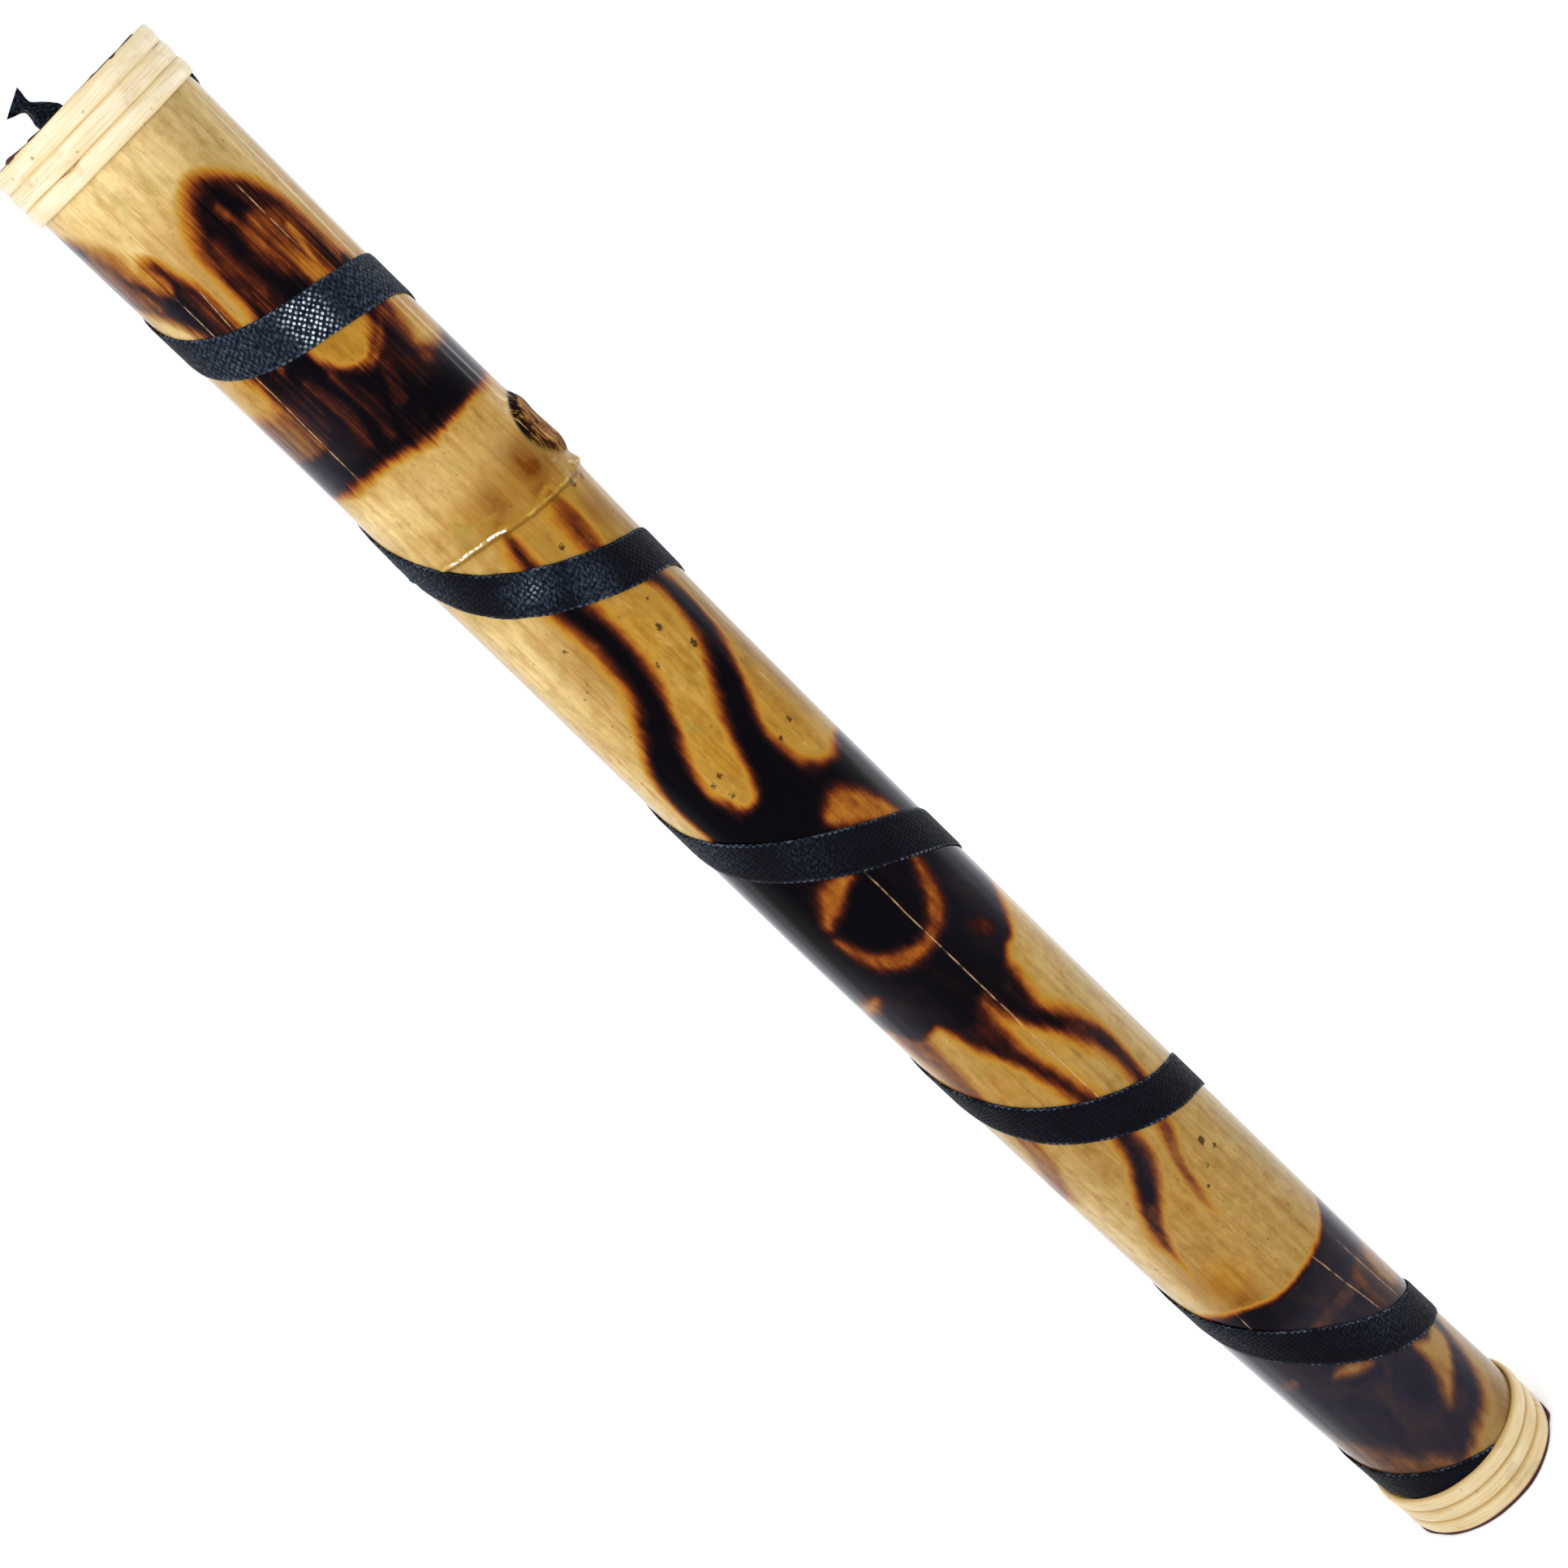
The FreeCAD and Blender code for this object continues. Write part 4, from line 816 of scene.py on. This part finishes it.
    def burnt_colour(self):
        """From bare bamboo at a level of -2 to black at 2."""
        span = self.math("MULTIPLY_ADD", self.level, 0.25, 0.5)
        orange = self.ramp(
            span, (0.02, 172, 130, 50), (0.18, 168, 120, 38), (0.30, 156, 94, 28), (0.41, 124, 62, 19),
            (0.51, 84, 34, 14), (0.61, 46, 16, 10), (0.72, 22, 8, 9), (0.86, 5, 3, 6))
        sooty = self.ramp(
            span, (0.02, 156, 128, 82), (0.22, 140, 106, 62), (0.36, 118, 82, 50), (0.48, 88, 60, 44),
            (0.60, 60, 46, 46), (0.74, 40, 36, 44))
        # Painted reflection haze: blue-grey laid over the black.
        painted_haze = self.ramp(self.blotch, (0.36, 56, 44, 44), (0.50, 42, 37, 45), (0.64, 32, 33, 42))
        colour = self.mix(self.attribute("sooty"), orange, sooty)
        return self.mix(self.attribute("painted_haze"), colour, painted_haze)

    def add_spots(self, colour):
        spot = self.fade(self.plus(self.attribute("spot"), self.swing(self.crumb, 0.7)), -0.30, 0.15)
        return self.mix(self.times(spot, 0.85), colour, (40, 26, 12))

    def add_scratches(self, colour):
        breaks = self.fade(self.noise(self.place((0, 0, 0.3)), 1.0), 0.35, 0.6, 0.05, 0.62)
        return self.mix(self.times(self.scratch_line, breaks), colour, (206, 164, 116))

    def add_scar(self, colour):
        """The sheath scar: an olive flush, a dark foot of painted shadow, a bright crest, a painted white
        highlight and a second faint line.
        """
        scar = self.plus(self.attribute("from_scar"), self.swing(self.mottle, 0.4))
        scar_glint_span = self.attribute("scar_glint_span")
        crumbled = self.fade(self.crumb, 0.3, 0.6, 0.4, 1.0)
        olive = self.times(self.band(scar, 0.0, 3.0, 0.6, 0.0, 0.50), crumbled)
        colour = self.mix(olive, colour, (140, 104, 22))
        # Painted shadow: a dark brown foot under the ridge.
        colour = self.mix(self.band(scar, -0.75, 0.65, 0.1, 0.0, 0.55), colour, (92, 56, 16))
        bright = self.fade(self.blotch, 0.40, 0.60, 0.0, 0.6)
        colour = self.mix(self.times(self.band(scar, 0.2, 0.50, 0.15), bright), colour, (206, 174, 96))
        # Painted highlight: broken white along the crest on the front.
        glint_breaks = self.fade(self.noise(self.place((0.8, 0.8, 0.8)), 1.0, 3.0), 0.42, 0.56)
        line = self.band(scar, 0.25, 0.45, 0.15)
        painted_glint_line = self.math("MULTIPLY", line, self.times(scar_glint_span, glint_breaks), clamp=True)
        colour = self.mix(painted_glint_line, colour, (255, 252, 244))
        second = self.times(self.band(scar, 4.6, 0.6, 0.1, 0.0, 0.4), scar_glint_span)
        return self.mix(second, colour, (150, 132, 48))

    def add_stub(self, colour):
        """The cut branch's rough wood and its charred rim."""
        wood = self.ramp(
            self.bark, (0.34, 26, 13, 7), (0.44, 84, 46, 17), (0.55, 146, 94, 38), (0.68, 196, 152, 86))
        colour = self.mix(self.fade(self.stub, 0.35, 0.75), colour, wood)
        upper = self.fade(self.height, 371, 382, 0.35, 1.0)
        charred = self.times(upper, self.fade(self.bark, 0.66, 0.48, 0.35, 1.0))
        rim = self.times(self.fade(self.attribute("stub_rim"), 0.20, 0.70), charred)
        return self.mix(rim, colour, (20, 11, 8))


def make_culm():
    steps = np.linspace(-180, 180, COLUMNS, endpoint=False)
    height, azimuth = np.meshgrid(RING_HEIGHTS, steps, indexing="ij")
    inner_height, inner_azimuth = np.meshgrid(INNER_HEIGHTS, steps, indexing="ij")
    on_ledge = (inner_height >= LEDGE_LOW) & (inner_height <= LEDGE_HIGH)
    bore = np.where(on_ledge, LEDGE_BORE, CULM_BORE)
    points = np.vstack([on_culm(height, azimuth), around(inner_height, inner_azimuth, bore)])
    faces = grid_faces(len(points), COLUMNS, wrap_rows=True)

    def over(values, inside=0.0):
        """The outside's values, and one for the whole bore."""
        return np.concatenate([values.ravel(), np.full(inner_height.size, inside)])

    burn = burn_levels(height, azimuth)
    offset, strength = scratch_levels(height, azimuth)
    from_stub = stub_distance(height, azimuth)
    patches = {field: patch_levels(rows, height, azimuth) for field, rows in PATCHES.items()}
    patches["painted_haze"] *= smooth_step(burn, 0.3, 1.0)
    patches["sooty"] = np.maximum(patches["sooty"], 0.85 * smooth_step(height, 88.0, 80.0))
    fields = {field: over(values, PALE_BORE if field == "pale_and_highlight" else 0.0)
              for field, values in patches.items()}
    fields.update({
        "burn": over(burn, UNBURNT),
        "fringe": over(fringe_levels(height), 0.4),
        "spot": over(spot_levels(height, azimuth), NO_SPOT),
        "scratch_offset": over(offset, NO_SCRATCH),
        "scratch": over(strength),
        "from_scar": over(np.clip(height - scar_line(azimuth), -NO_SCAR, NO_SCAR), NO_SCAR),
        "scar_glint_span": over(scar_glint_span_levels(azimuth)),
        "stub": over(smooth_step(from_stub, STUB_RADIUS + 1.2, STUB_RADIUS - 0.4)),
        "stub_rim": over(hump(from_stub, STUB_RADIUS - 0.2, 1.5)),
    })
    culm = finish_mesh("bamboo_culm", points, faces, fields)
    culm.data.materials.append(CulmSurface().material)
    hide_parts("culm")


make_culm()


# ---------------------------------------------------------------- woven tape

# The spiral's azimuth in degrees and its height, from above the head to below the base.
STRAP_KNOTS = np.array([
    (-300, 497), (-270, 491), (-180, 470.5), (-90, 449), (-30, 437.6), (30, 431.6), (90, 424.9),
    (180, 405), (270, 382.2), (330, 360.8), (390, 346.4), (450, 336.8), (540, 312.5), (630, 286.2),
    (690, 270.3), (750, 253.7), (810, 238), (900, 215.5), (990, 191.6), (1050, 171.8), (1110, 156.1),
    (1170, 144.8), (1260, 121.5), (1350, 98.3), (1410, 80.5), (1470, 60.8), (1530, 49.5), (1620, 38.5),
    (1710, 26.6), (1770, 18), (1830, 8), (1860, 4),
])
STRAP_WIDTH, STRAP_THICKNESS, STRAP_GLUE = 11.2, 0.45, 0.15
STRAP_TOP_CUT, STRAP_BASE_CUT = 489.0, 13.2
STRAP_STEP = 2.0  # degrees
STRAP_ACROSS = 12  # points over its width
STRAP_WAVE = 0.07  # how far its edges stray
# Worn tape and painted sheen: height, azimuth, reach along the stick, reach across it, strength.
TAPE_WEAR_AND_SHEEN = [
    (434, 7, 16, 8.5, 1.0), (438, -40, 16, 14, 0.62), (430, 55, 20, 14, 0.6), (357, -13, 6, 7, 0.72),
    (348, 14, 9, 5, 0.62), (375, -70, 16, 10, 0.45), (268, -10, 16, 8, 0.2), (284, -62, 14, 10, 0.4),
    (70, 40, 16, 14, 0.3), (88, -62, 16, 10, 0.25), (435, 175, 20, 14, 0.6), (250, 190, 20, 10, 0.5),
    (110, 170, 20, 12, 0.4),
]


def tape_surface(name):
    """Black woven tape, greyer where it is worn, with painted sheen, painted glints and painted shade in
    the weave.
    """
    tape = Surface(name, Specular_IOR_Level=0.05)
    along, across, wear_and_sheen = tape.attribute("along"), tape.attribute("across"), tape.attribute("wear_and_sheen")
    flat = tape.vector(along, across)
    slanted = tape.vector(tape.plus(along, across), tape.math("SUBTRACT", across, along))
    raised = tape.fade(tape.cells(slanted, 0.62, randomness=0.28), 0.62, 0.15)
    wear = tape.noise(flat, 0.16, 3.0, 0.6)
    thread = tape.noise(tape.vector(along, tape.times(across, 0.45)), 1.7, 2.0, 0.6)
    height = tape.plus(raised, tape.times(thread, 0.8))
    clean = tape.ramp(wear, (0.30, 3, 4, 11), (0.70, 10, 12, 24))
    # Greyer weave: partly wear, partly painted sheen.
    dust_and_sheen = tape.ramp(thread, (0.38, 10, 15, 25), (0.52, 36, 45, 57), (0.66, 62, 72, 85))
    colour = tape.mix(tape.fade(wear_and_sheen, 0.0, 0.6), clean, dust_and_sheen)
    # Painted shade in the weave's hollows between the raised threads.
    lit = tape.ramp(height, (0.50, 110, 112, 118), (1.0, 255, 255, 255))
    colour = tape.mix(0.75, colour, lit, "MULTIPLY")
    # Painted highlight: glints on the raised threads.
    chance = tape.fade(tape.noise(flat, 0.9, 1.0), 0.32, 0.48)
    painted_glint = tape.times(tape.times(tape.fade(raised, 0.55, 0.95), chance), tape.fade(wear_and_sheen, 0.55, 1.0))
    colour = tape.mix(painted_glint, colour, (205, 216, 226))
    half = STRAP_WIDTH / 2
    # Painted highlight along the tape's edges.
    selvedge = tape.fade(tape.math("ABSOLUTE", across), half - 0.75, half - 0.35)
    painted_edge_glint = tape.times(tape.times(selvedge, raised), tape.fade(wear, 0.42, 0.62, 0.1, 0.8))
    colour = tape.mix(painted_edge_glint, colour, (96, 106, 120))
    tape.set("Base Color", colour)
    tape.set("Roughness", tape.fade(thread, 0.35, 0.75, 0.60, 0.35))
    tape.bump(height, 0.14)
    return tape.material


def strap_height(turn):
    """Cubic through the knots, each slope the chord across its neighbours."""
    turns, heights = STRAP_KNOTS.T
    slopes = np.gradient(heights, turns)
    slopes[1:-1] = (heights[2:] - heights[:-2]) / (turns[2:] - turns[:-2])
    span = np.clip(np.searchsorted(turns, turn, side="right") - 1, 0, len(turns) - 2)
    width = turns[span + 1] - turns[span]
    s = (turn - turns[span]) / width
    start, end = heights[span], heights[span + 1]
    return ((2 * s ** 3 - 3 * s ** 2 + 1) * start + (s ** 3 - 2 * s ** 2 + s) * width * slopes[span]
            + (3 * s ** 2 - 2 * s ** 3) * end + (s ** 3 - s ** 2) * width * slopes[span + 1])


def make_strap():
    turns = np.arange(STRAP_KNOTS[0, 0], STRAP_KNOTS[-1, 0] + 0.1, STRAP_STEP)
    middle = strap_height(turns)
    slope = np.gradient(middle, turns * ARC)
    lean = np.hypot(1.0, slope)
    lengths = np.hypot(np.diff(turns) * ARC, np.diff(middle))
    along = np.concatenate([[0], np.cumsum(lengths)])
    edge_wave = STRAP_WAVE * Ripple(21, 24, 60, 0.0)(turns * 0.37)
    columns = []
    for side in (1, -1):
        for share in np.linspace(-1, 1, STRAP_ACROSS)[::side]:
            across = share * (STRAP_WIDTH / 2 + edge_wave * abs(share) ** 6)
            height, azimuth = middle + across / lean, turns - across * slope / lean / ARC
            rolled = 0.10 * hump(abs(share), 0.93, 0.07) - 0.16 * smooth_step(abs(share), 0.95, 1.0)
            lift = STRAP_GLUE + (STRAP_THICKNESS + rolled if side > 0 else 0.0)
            wear_and_sheen = patch_levels(TAPE_WEAR_AND_SHEEN, height, azimuth)
            columns.append((on_culm(height, azimuth, lift), along, across, wear_and_sheen))
    points, along, across, wear_and_sheen = (np.stack(part, axis=1) for part in zip(*columns))
    faces = capped_faces(len(turns), 2 * STRAP_ACROSS)
    fields = {"along": along, "across": across, "wear_and_sheen": wear_and_sheen}
    strap = finish_mesh("woven_strap", points, faces, fields)
    trim_strap(strap.data)
    strap.data.materials.append(tape_surface("woven_tape"))
    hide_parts("spiral_strap")


def trim_strap(mesh):
    """Cut the tape's ends level, under the last rattan ring at each end."""
    shape = bmesh.new()
    shape.from_mesh(mesh)
    for height, direction in ((STRAP_TOP_CUT, 1), (STRAP_BASE_CUT, -1)):
        cut = bmesh.ops.bisect_plane(
            shape, geom=shape.verts[:] + shape.edges[:] + shape.faces[:],
            plane_co=(0, 0, height * MM), plane_no=(0, 0, direction), clear_outer=True)
        rim = [part for part in cut["geom_cut"] if isinstance(part, bmesh.types.BMEdge)]
        bmesh.ops.edgeloop_fill(shape, edges=rim)
    bmesh.ops.recalc_face_normals(shape, faces=shape.faces[:])
    shape.to_mesh(mesh)
    shape.free()


make_strap()


# ---------------------------------------------------------------- rattan rings

# Low and high edge, crest thickness and the azimuth of its cut for each ring, outermost first.
HEAD_RINGS = [(495.2, 499.95, 0.9, 200), (490.4, 495.1, 1.0, 150), (486.0, 490.3, 1.2, 240)]
BASE_RINGS = [(0.4, 5.6, 1.15, 250), (5.7, 10.7, 1.25, 150), (10.8, 15.8, 1.6, 170)]
HEAD_RING_BORE, BASE_RING_BORE = 22.95, 22.25
RING_SHOULDER, INNERMOST_SHOULDER = 0.55, 0.75  # thickness at the edges
RING_OVERLAP = 0.07  # neighbours press into each other
RING_GROOVE = 2.3  # how sharply a ring rounds off into the groove between two
RING_EDGE_WAVE, RING_WOBBLE = 0.06, 0.05  # how far its edges stray and its crest rises and falls
SCARF_GAP, SCARF_LEAN = 0.14, 24.0  # mm, degrees
NICK_AZIMUTH, NICK_DEPTH = -24.0, 0.45  # a chipped edge on the head's innermost ring
NICKED_STRIP = 2
STRIP_STRIDE = 7.0  # what the strip attribute goes up by: 0 to 14 at the head, 21 to 35 at the base
RING_STEPS, RING_PROFILE = 240, 11  # points round it, and over its width


def rattan_surface():
    """Pale split rattan, with fibres round the ring."""
    cane = Surface("split_rattan", Coat_Weight=0.6, Coat_Roughness=0.2, Coat_IOR=1.35,
                   Specular_IOR_Level=0.1)
    along, across, strip = cane.attribute("along"), cane.attribute("across"), cane.attribute("strip")
    fibre = cane.noise(cane.vector(cane.times(along, 0.035), across, strip), 2.4, 3.0, 0.65)
    wide = cane.noise(cane.vector(cane.times(along, 0.09), cane.times(across, 0.35), strip), 1.0)
    colour = cane.ramp(wide, (0.30, 224, 204, 162), (0.50, 230, 214, 178), (0.70, 236, 224, 194))
    colour = cane.mix(cane.fade(strip, 15.0, 20.0, 0.0, 0.6), colour, (208, 182, 128))
    smudge = cane.fade(cane.noise(cane.place(), 0.12, 3.0, 0.6), 0.56, 0.70, 0.0, 0.4)
    colour = cane.mix(smudge, colour, (178, 156, 120))
    lines = cane.ramp(fibre, (0.34, 212, 186, 134), (0.55, 255, 253, 248))
    colour = cane.mix(0.45, colour, lines, "MULTIPLY")
    chance = cane.noise(cane.place(), 0.21, 1.0)
    speck = cane.fade(cane.cells(cane.place(), 0.30), 0.22, 0.06)
    colour = cane.mix(cane.times(speck, cane.fade(chance, 0.56, 0.66, 0.0, 0.7)), colour, (120, 88, 48))
    # Painted shade in the grooves between rings, darker at the base.
    hollow = cane.mix(cane.fade(strip, 15.0, 20.0), (216, 190, 134), (184, 146, 76))
    groove = cane.fade(cane.attribute("groove"), 0.50, 1.0)
    colour = cane.mix(cane.times(groove, 0.75), colour, hollow)
    cane.set("Base Color", colour)
    cane.set("Roughness", cane.fade(fibre, 0.3, 0.7, 0.5, 0.36))
    cane.bump(fibre, 0.08)
    return cane.material


def make_ring(name, node, low, high, crest, scarf, bore, shoulder, strip, cane):
    """One split strip bent round the end and cut on a slant where it meets itself."""
    wobble, edge = Ripple(40 + strip, 6, 9, 0.0), Ripple(60 + strip, 8, 14, 0.0)
    half_gap = SCARF_GAP / 2 / ARC
    share = np.linspace(0, 1, RING_STEPS)
    middle, half = (low + high) / 2, (high - low) / 2 + RING_OVERLAP
    slant = math.tan(math.radians(SCARF_LEAN)) * half / ARC
    nicked = NICK_DEPTH if strip == NICKED_STRIP else 0.0
    columns = []
    for side in (1, -1):
        for w in np.linspace(-1, 1, RING_PROFILE)[::side]:
            azimuth = scarf + half_gap + slant * w + share * (360 - 2 * half_gap)
            height = middle + w * half + (RING_EDGE_WAVE * edge(azimuth) if abs(w) > 0.99 else 0.0)
            nick = nicked * hump(turn_between(azimuth, NICK_AZIMUTH), 0.0, 5.5) * smooth_step(w, 0.2, 1.0)
            radius = bore
            if side > 0:
                round_off = 1 - abs(w) ** RING_GROOVE - 0.8 * nick
                radius = bore + shoulder + (crest - shoulder) * round_off + RING_WOBBLE * wobble(azimuth)
            across, groove = np.full(RING_STEPS, w * half), np.full(RING_STEPS, abs(w))
            columns.append((around(height - nick, azimuth, radius), azimuth * ARC, across, groove))
    points, along, across, groove = (np.stack(part, axis=1) for part in zip(*columns))
    fields = {"along": along, "across": across, "groove": groove,
              "strip": np.full(along.size, STRIP_STRIDE * strip)}
    ring = finish_mesh(name, points, capped_faces(RING_STEPS, 2 * RING_PROFILE), fields)
    ring.data.materials.append(cane)
    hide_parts(node)


def make_rings():
    cane = rattan_surface()
    strip = 0
    for end, rings, bore in (("head", HEAD_RINGS, HEAD_RING_BORE), ("base", BASE_RINGS, BASE_RING_BORE)):
        for number, sizes in enumerate(rings, 1):
            shoulder = INNERMOST_SHOULDER if number == len(rings) else RING_SHOULDER
            make_ring(f"{end}_rattan_ring_{number}", f"{end}_rattan_band_{number}",
                      *sizes, bore, shoulder, strip, cane)
            strip += 1


make_rings()


# ---------------------------------------------------------------- end discs

# The shares of the radius at which a face has its rings of points.
DISC_SHARES = (0.02, 0.25, 0.5, 0.7, 0.85, 0.94, 0.985, 1.0)
DISC_COLUMNS = 240
DISC_ROUNDING = 0.22  # how far the open face's edge is worn down
# Places where the cut strays outwards and curls up: azimuth, half width in degrees, mm outwards,
# mm up.
HEAD_TABS = [
    (-47, 7, 1.3, 0.85), (-29, 3, 0.9, 0.5), (56, 5, 1.0, 0.4), (34, 10, 0.9, 0.15), (20, 2, 0.9, 0.3),
    (170, 9, 1.0, 0.3), (230, 6, 0.9, 0.3),
]
BASE_TABS = [(70, 5, 0.5, 0.0), (10, 20, 0.15, 0.0)]


def leather_surface():
    """Black leather cloth with a maroon cut edge."""
    hide = Surface("black_leatherette", Specular_IOR_Level=0.2)
    pebbles = hide.cells(hide.place(), 1.1, feature="SMOOTH_F1")
    creases = hide.noise(hide.place(), 0.25, 3.0, 0.6)
    colour = hide.ramp(creases, (0.3, 18, 17, 19), (0.7, 40, 37, 39))
    rim = hide.fade(hide.attribute("rim"), 0.55, 0.95, 0.0, 0.85)
    colour = hide.mix(rim, colour, (74, 26, 26))
    hide.set("Base Color", colour)
    hide.set("Roughness", hide.fade(pebbles, 0.1, 0.6, 0.38, 0.6))
    hide.bump(hide.math("MULTIPLY_ADD", creases, 0.8, pebbles), 0.12)
    return hide.material


def make_disc(name, node, outer, inner, cut, unevenness, tabs, seed, hide):
    """A hand-cut disc: outer is the height of its open face, inner of the glued one, cut its radius."""
    azimuth = np.linspace(-180, 180, DISC_COLUMNS, endpoint=False)
    turn = np.radians(azimuth)
    edge = cut + unevenness * Ripple(seed, 9, 16, 0.0)(azimuth)
    curl = np.zeros(azimuth.shape)
    for middle, spread, reach, lift in tabs:
        tab = hump(turn_between(azimuth, middle), 0.0, spread)
        edge = edge + reach * tab
        curl = curl + lift * tab
    inward = 1.0 if inner > outer else -1.0
    rows, rims = [], []
    for face, shares in ((outer, DISC_SHARES), (inner, DISC_SHARES[::-1])):
        for share in shares:
            radius = share * (cut + (edge - cut) * share ** 8)
            rounding = DISC_ROUNDING * smooth_step(share, 0.96, 1.0) if face == outer else 0.0
            height = face + inward * (rounding - curl * share ** 12)
            rows.append(np.stack([radius * np.sin(turn), -radius * np.cos(turn), height], axis=-1))
            on_rim = share == 1.0 or (face == inner and share > 0.9)
            rims.append(np.full(DISC_COLUMNS, float(on_rim)))
    disc = finish_mesh(name, rows, capped_faces(len(rows), DISC_COLUMNS), {"rim": rims})
    disc.data.materials.append(hide)
    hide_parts(node)


hide = leather_surface()
make_disc("head_leather_disc", "head_end_disc", 500.15, 499.2, 22.6, 0.12, HEAD_TABS, 71, hide)
make_disc("base_leather_disc", "base_end_disc", 0.0, 0.8, 23.25, 0.14, BASE_TABS, 72, hide)


# ---------------------------------------------------------------- the tape's tail

# Rise above the head's end face, sideways drift, half width and slant in degrees: it is pinched
# into a fold half way, and its cut end flares.
TAIL_STATIONS = np.array([
    (-4.8, 0.0, 3.6, 0), (0.4, 0.0, 3.6, 0), (1.8, -0.5, 3.2, 6), (3.2, -1.1, 2.3, 15),
    (4.3, -1.6, 1.6, 21), (5.2, -1.95, 1.25, 23), (6.1, -2.4, 1.6, 24), (7.1, -3.05, 2.5, 25),
    (8.1, -3.7, 3.3, 25),
])
TAIL_X = -5.0
TAIL_HALF_WIDTH, TAIL_THICKNESS = 3.7, 0.8
TAIL_WEAR_AND_SHEEN = 0.3
HEAD_FACE = 500.0


def make_tail():
    stations = rounded(TAIL_STATIONS, False, 6)
    shares = np.linspace(-1, 1, 13)
    points, along, across = [], [], []
    for rise, drift, half, slant in stations:
        slope = math.tan(math.radians(slant))
        fold = math.sqrt(max(TAIL_HALF_WIDTH ** 2 - half ** 2, 0.0))
        for side in (1, -1):
            for share in shares[::side]:
                x = share * half
                depth = TAIL_THICKNESS / 2 * (1 - 0.35 * abs(share) ** 4) * side
                bend = fold * (0.8 * (abs(share) ** 1.4 - 0.45) + 0.25 * math.sin(share * 5.0))
                points.append((TAIL_X + drift + x, depth + bend, HEAD_FACE + rise + x * slope))
                along.append(rise)
                across.append(share * TAIL_HALF_WIDTH)
    fields = {"along": along, "across": across, "wear_and_sheen": [TAIL_WEAR_AND_SHEEN] * len(points)}
    tail = finish_mesh("pinched_tail", points, capped_faces(len(stations), 2 * len(shares)), fields)
    tail.data.materials.append(tape_surface("tail_tape"))
    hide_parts("tape_tail")


make_tail()


# ---------------------------------------------------------------- hidden pieces kept from the design

def wood_surface(name, light, dark, grain):
    """Plain wood with its grain along Z."""
    wood = Surface(name, Specular_IOR_Level=0.3)
    rings = wood.noise(wood.place((1, 1, 0.08)), grain, 4.0, 0.6, 0.4)
    fine = wood.noise(wood.place((1, 1, 0.05)), grain * 5, 2.0)
    broad = wood.ramp(rings, (0.35, *dark), (0.65, *light))
    wood.set("Base Color", wood.mix(0.25, broad, wood.ramp(fine, (0.4, *dark), (0.6, *light))))
    wood.set("Roughness", wood.fade(fine, 0.3, 0.7, 0.55, 0.75))
    wood.bump(fine, 0.1)
    return wood.material


def pebble_surface():
    """Small river pebbles in several greys and browns."""
    stone = Surface("river_pebble", Specular_IOR_Level=0.4)
    kind = stone.cells(stone.place(), 0.16, "Color")
    tone = stone.node("SeparateColor", {0: kind})
    colour = stone.ramp(
        tone, (0.0, 92, 84, 76), (0.35, 150, 128, 104), (0.7, 176, 166, 150), (1.0, 120, 96, 78))
    speckle = stone.noise(stone.place(), 2.2, 4.0, 0.7)
    specks = stone.ramp(speckle, (0.35, 110, 104, 98), (0.65, 255, 255, 255))
    stone.set("Base Color", stone.mix(0.5, colour, specks, "MULTIPLY"))
    stone.set("Roughness", stone.fade(speckle, 0.3, 0.7, 0.35, 0.6))
    stone.bump(speckle, 0.12)
    return stone.material


def dress(node_names, material):
    """Give nodes that keep their own shape a material."""
    for name in node_names:
        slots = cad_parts[name].data.materials
        for index in range(len(slots)):
            slots[index] = material
        if not slots:
            slots.append(material)


dress(("head_plug", "base_plug"), wood_surface("plug_wood", (214, 180, 130), (176, 134, 84), 0.35))
dress([f"pins_turn_{number}" for number in range(1, 6)],
      wood_surface("pin_bamboo", (222, 196, 140), (188, 150, 92), 1.2))
dress([f"grains_{number}" for number in range(1, 7)], pebble_surface())
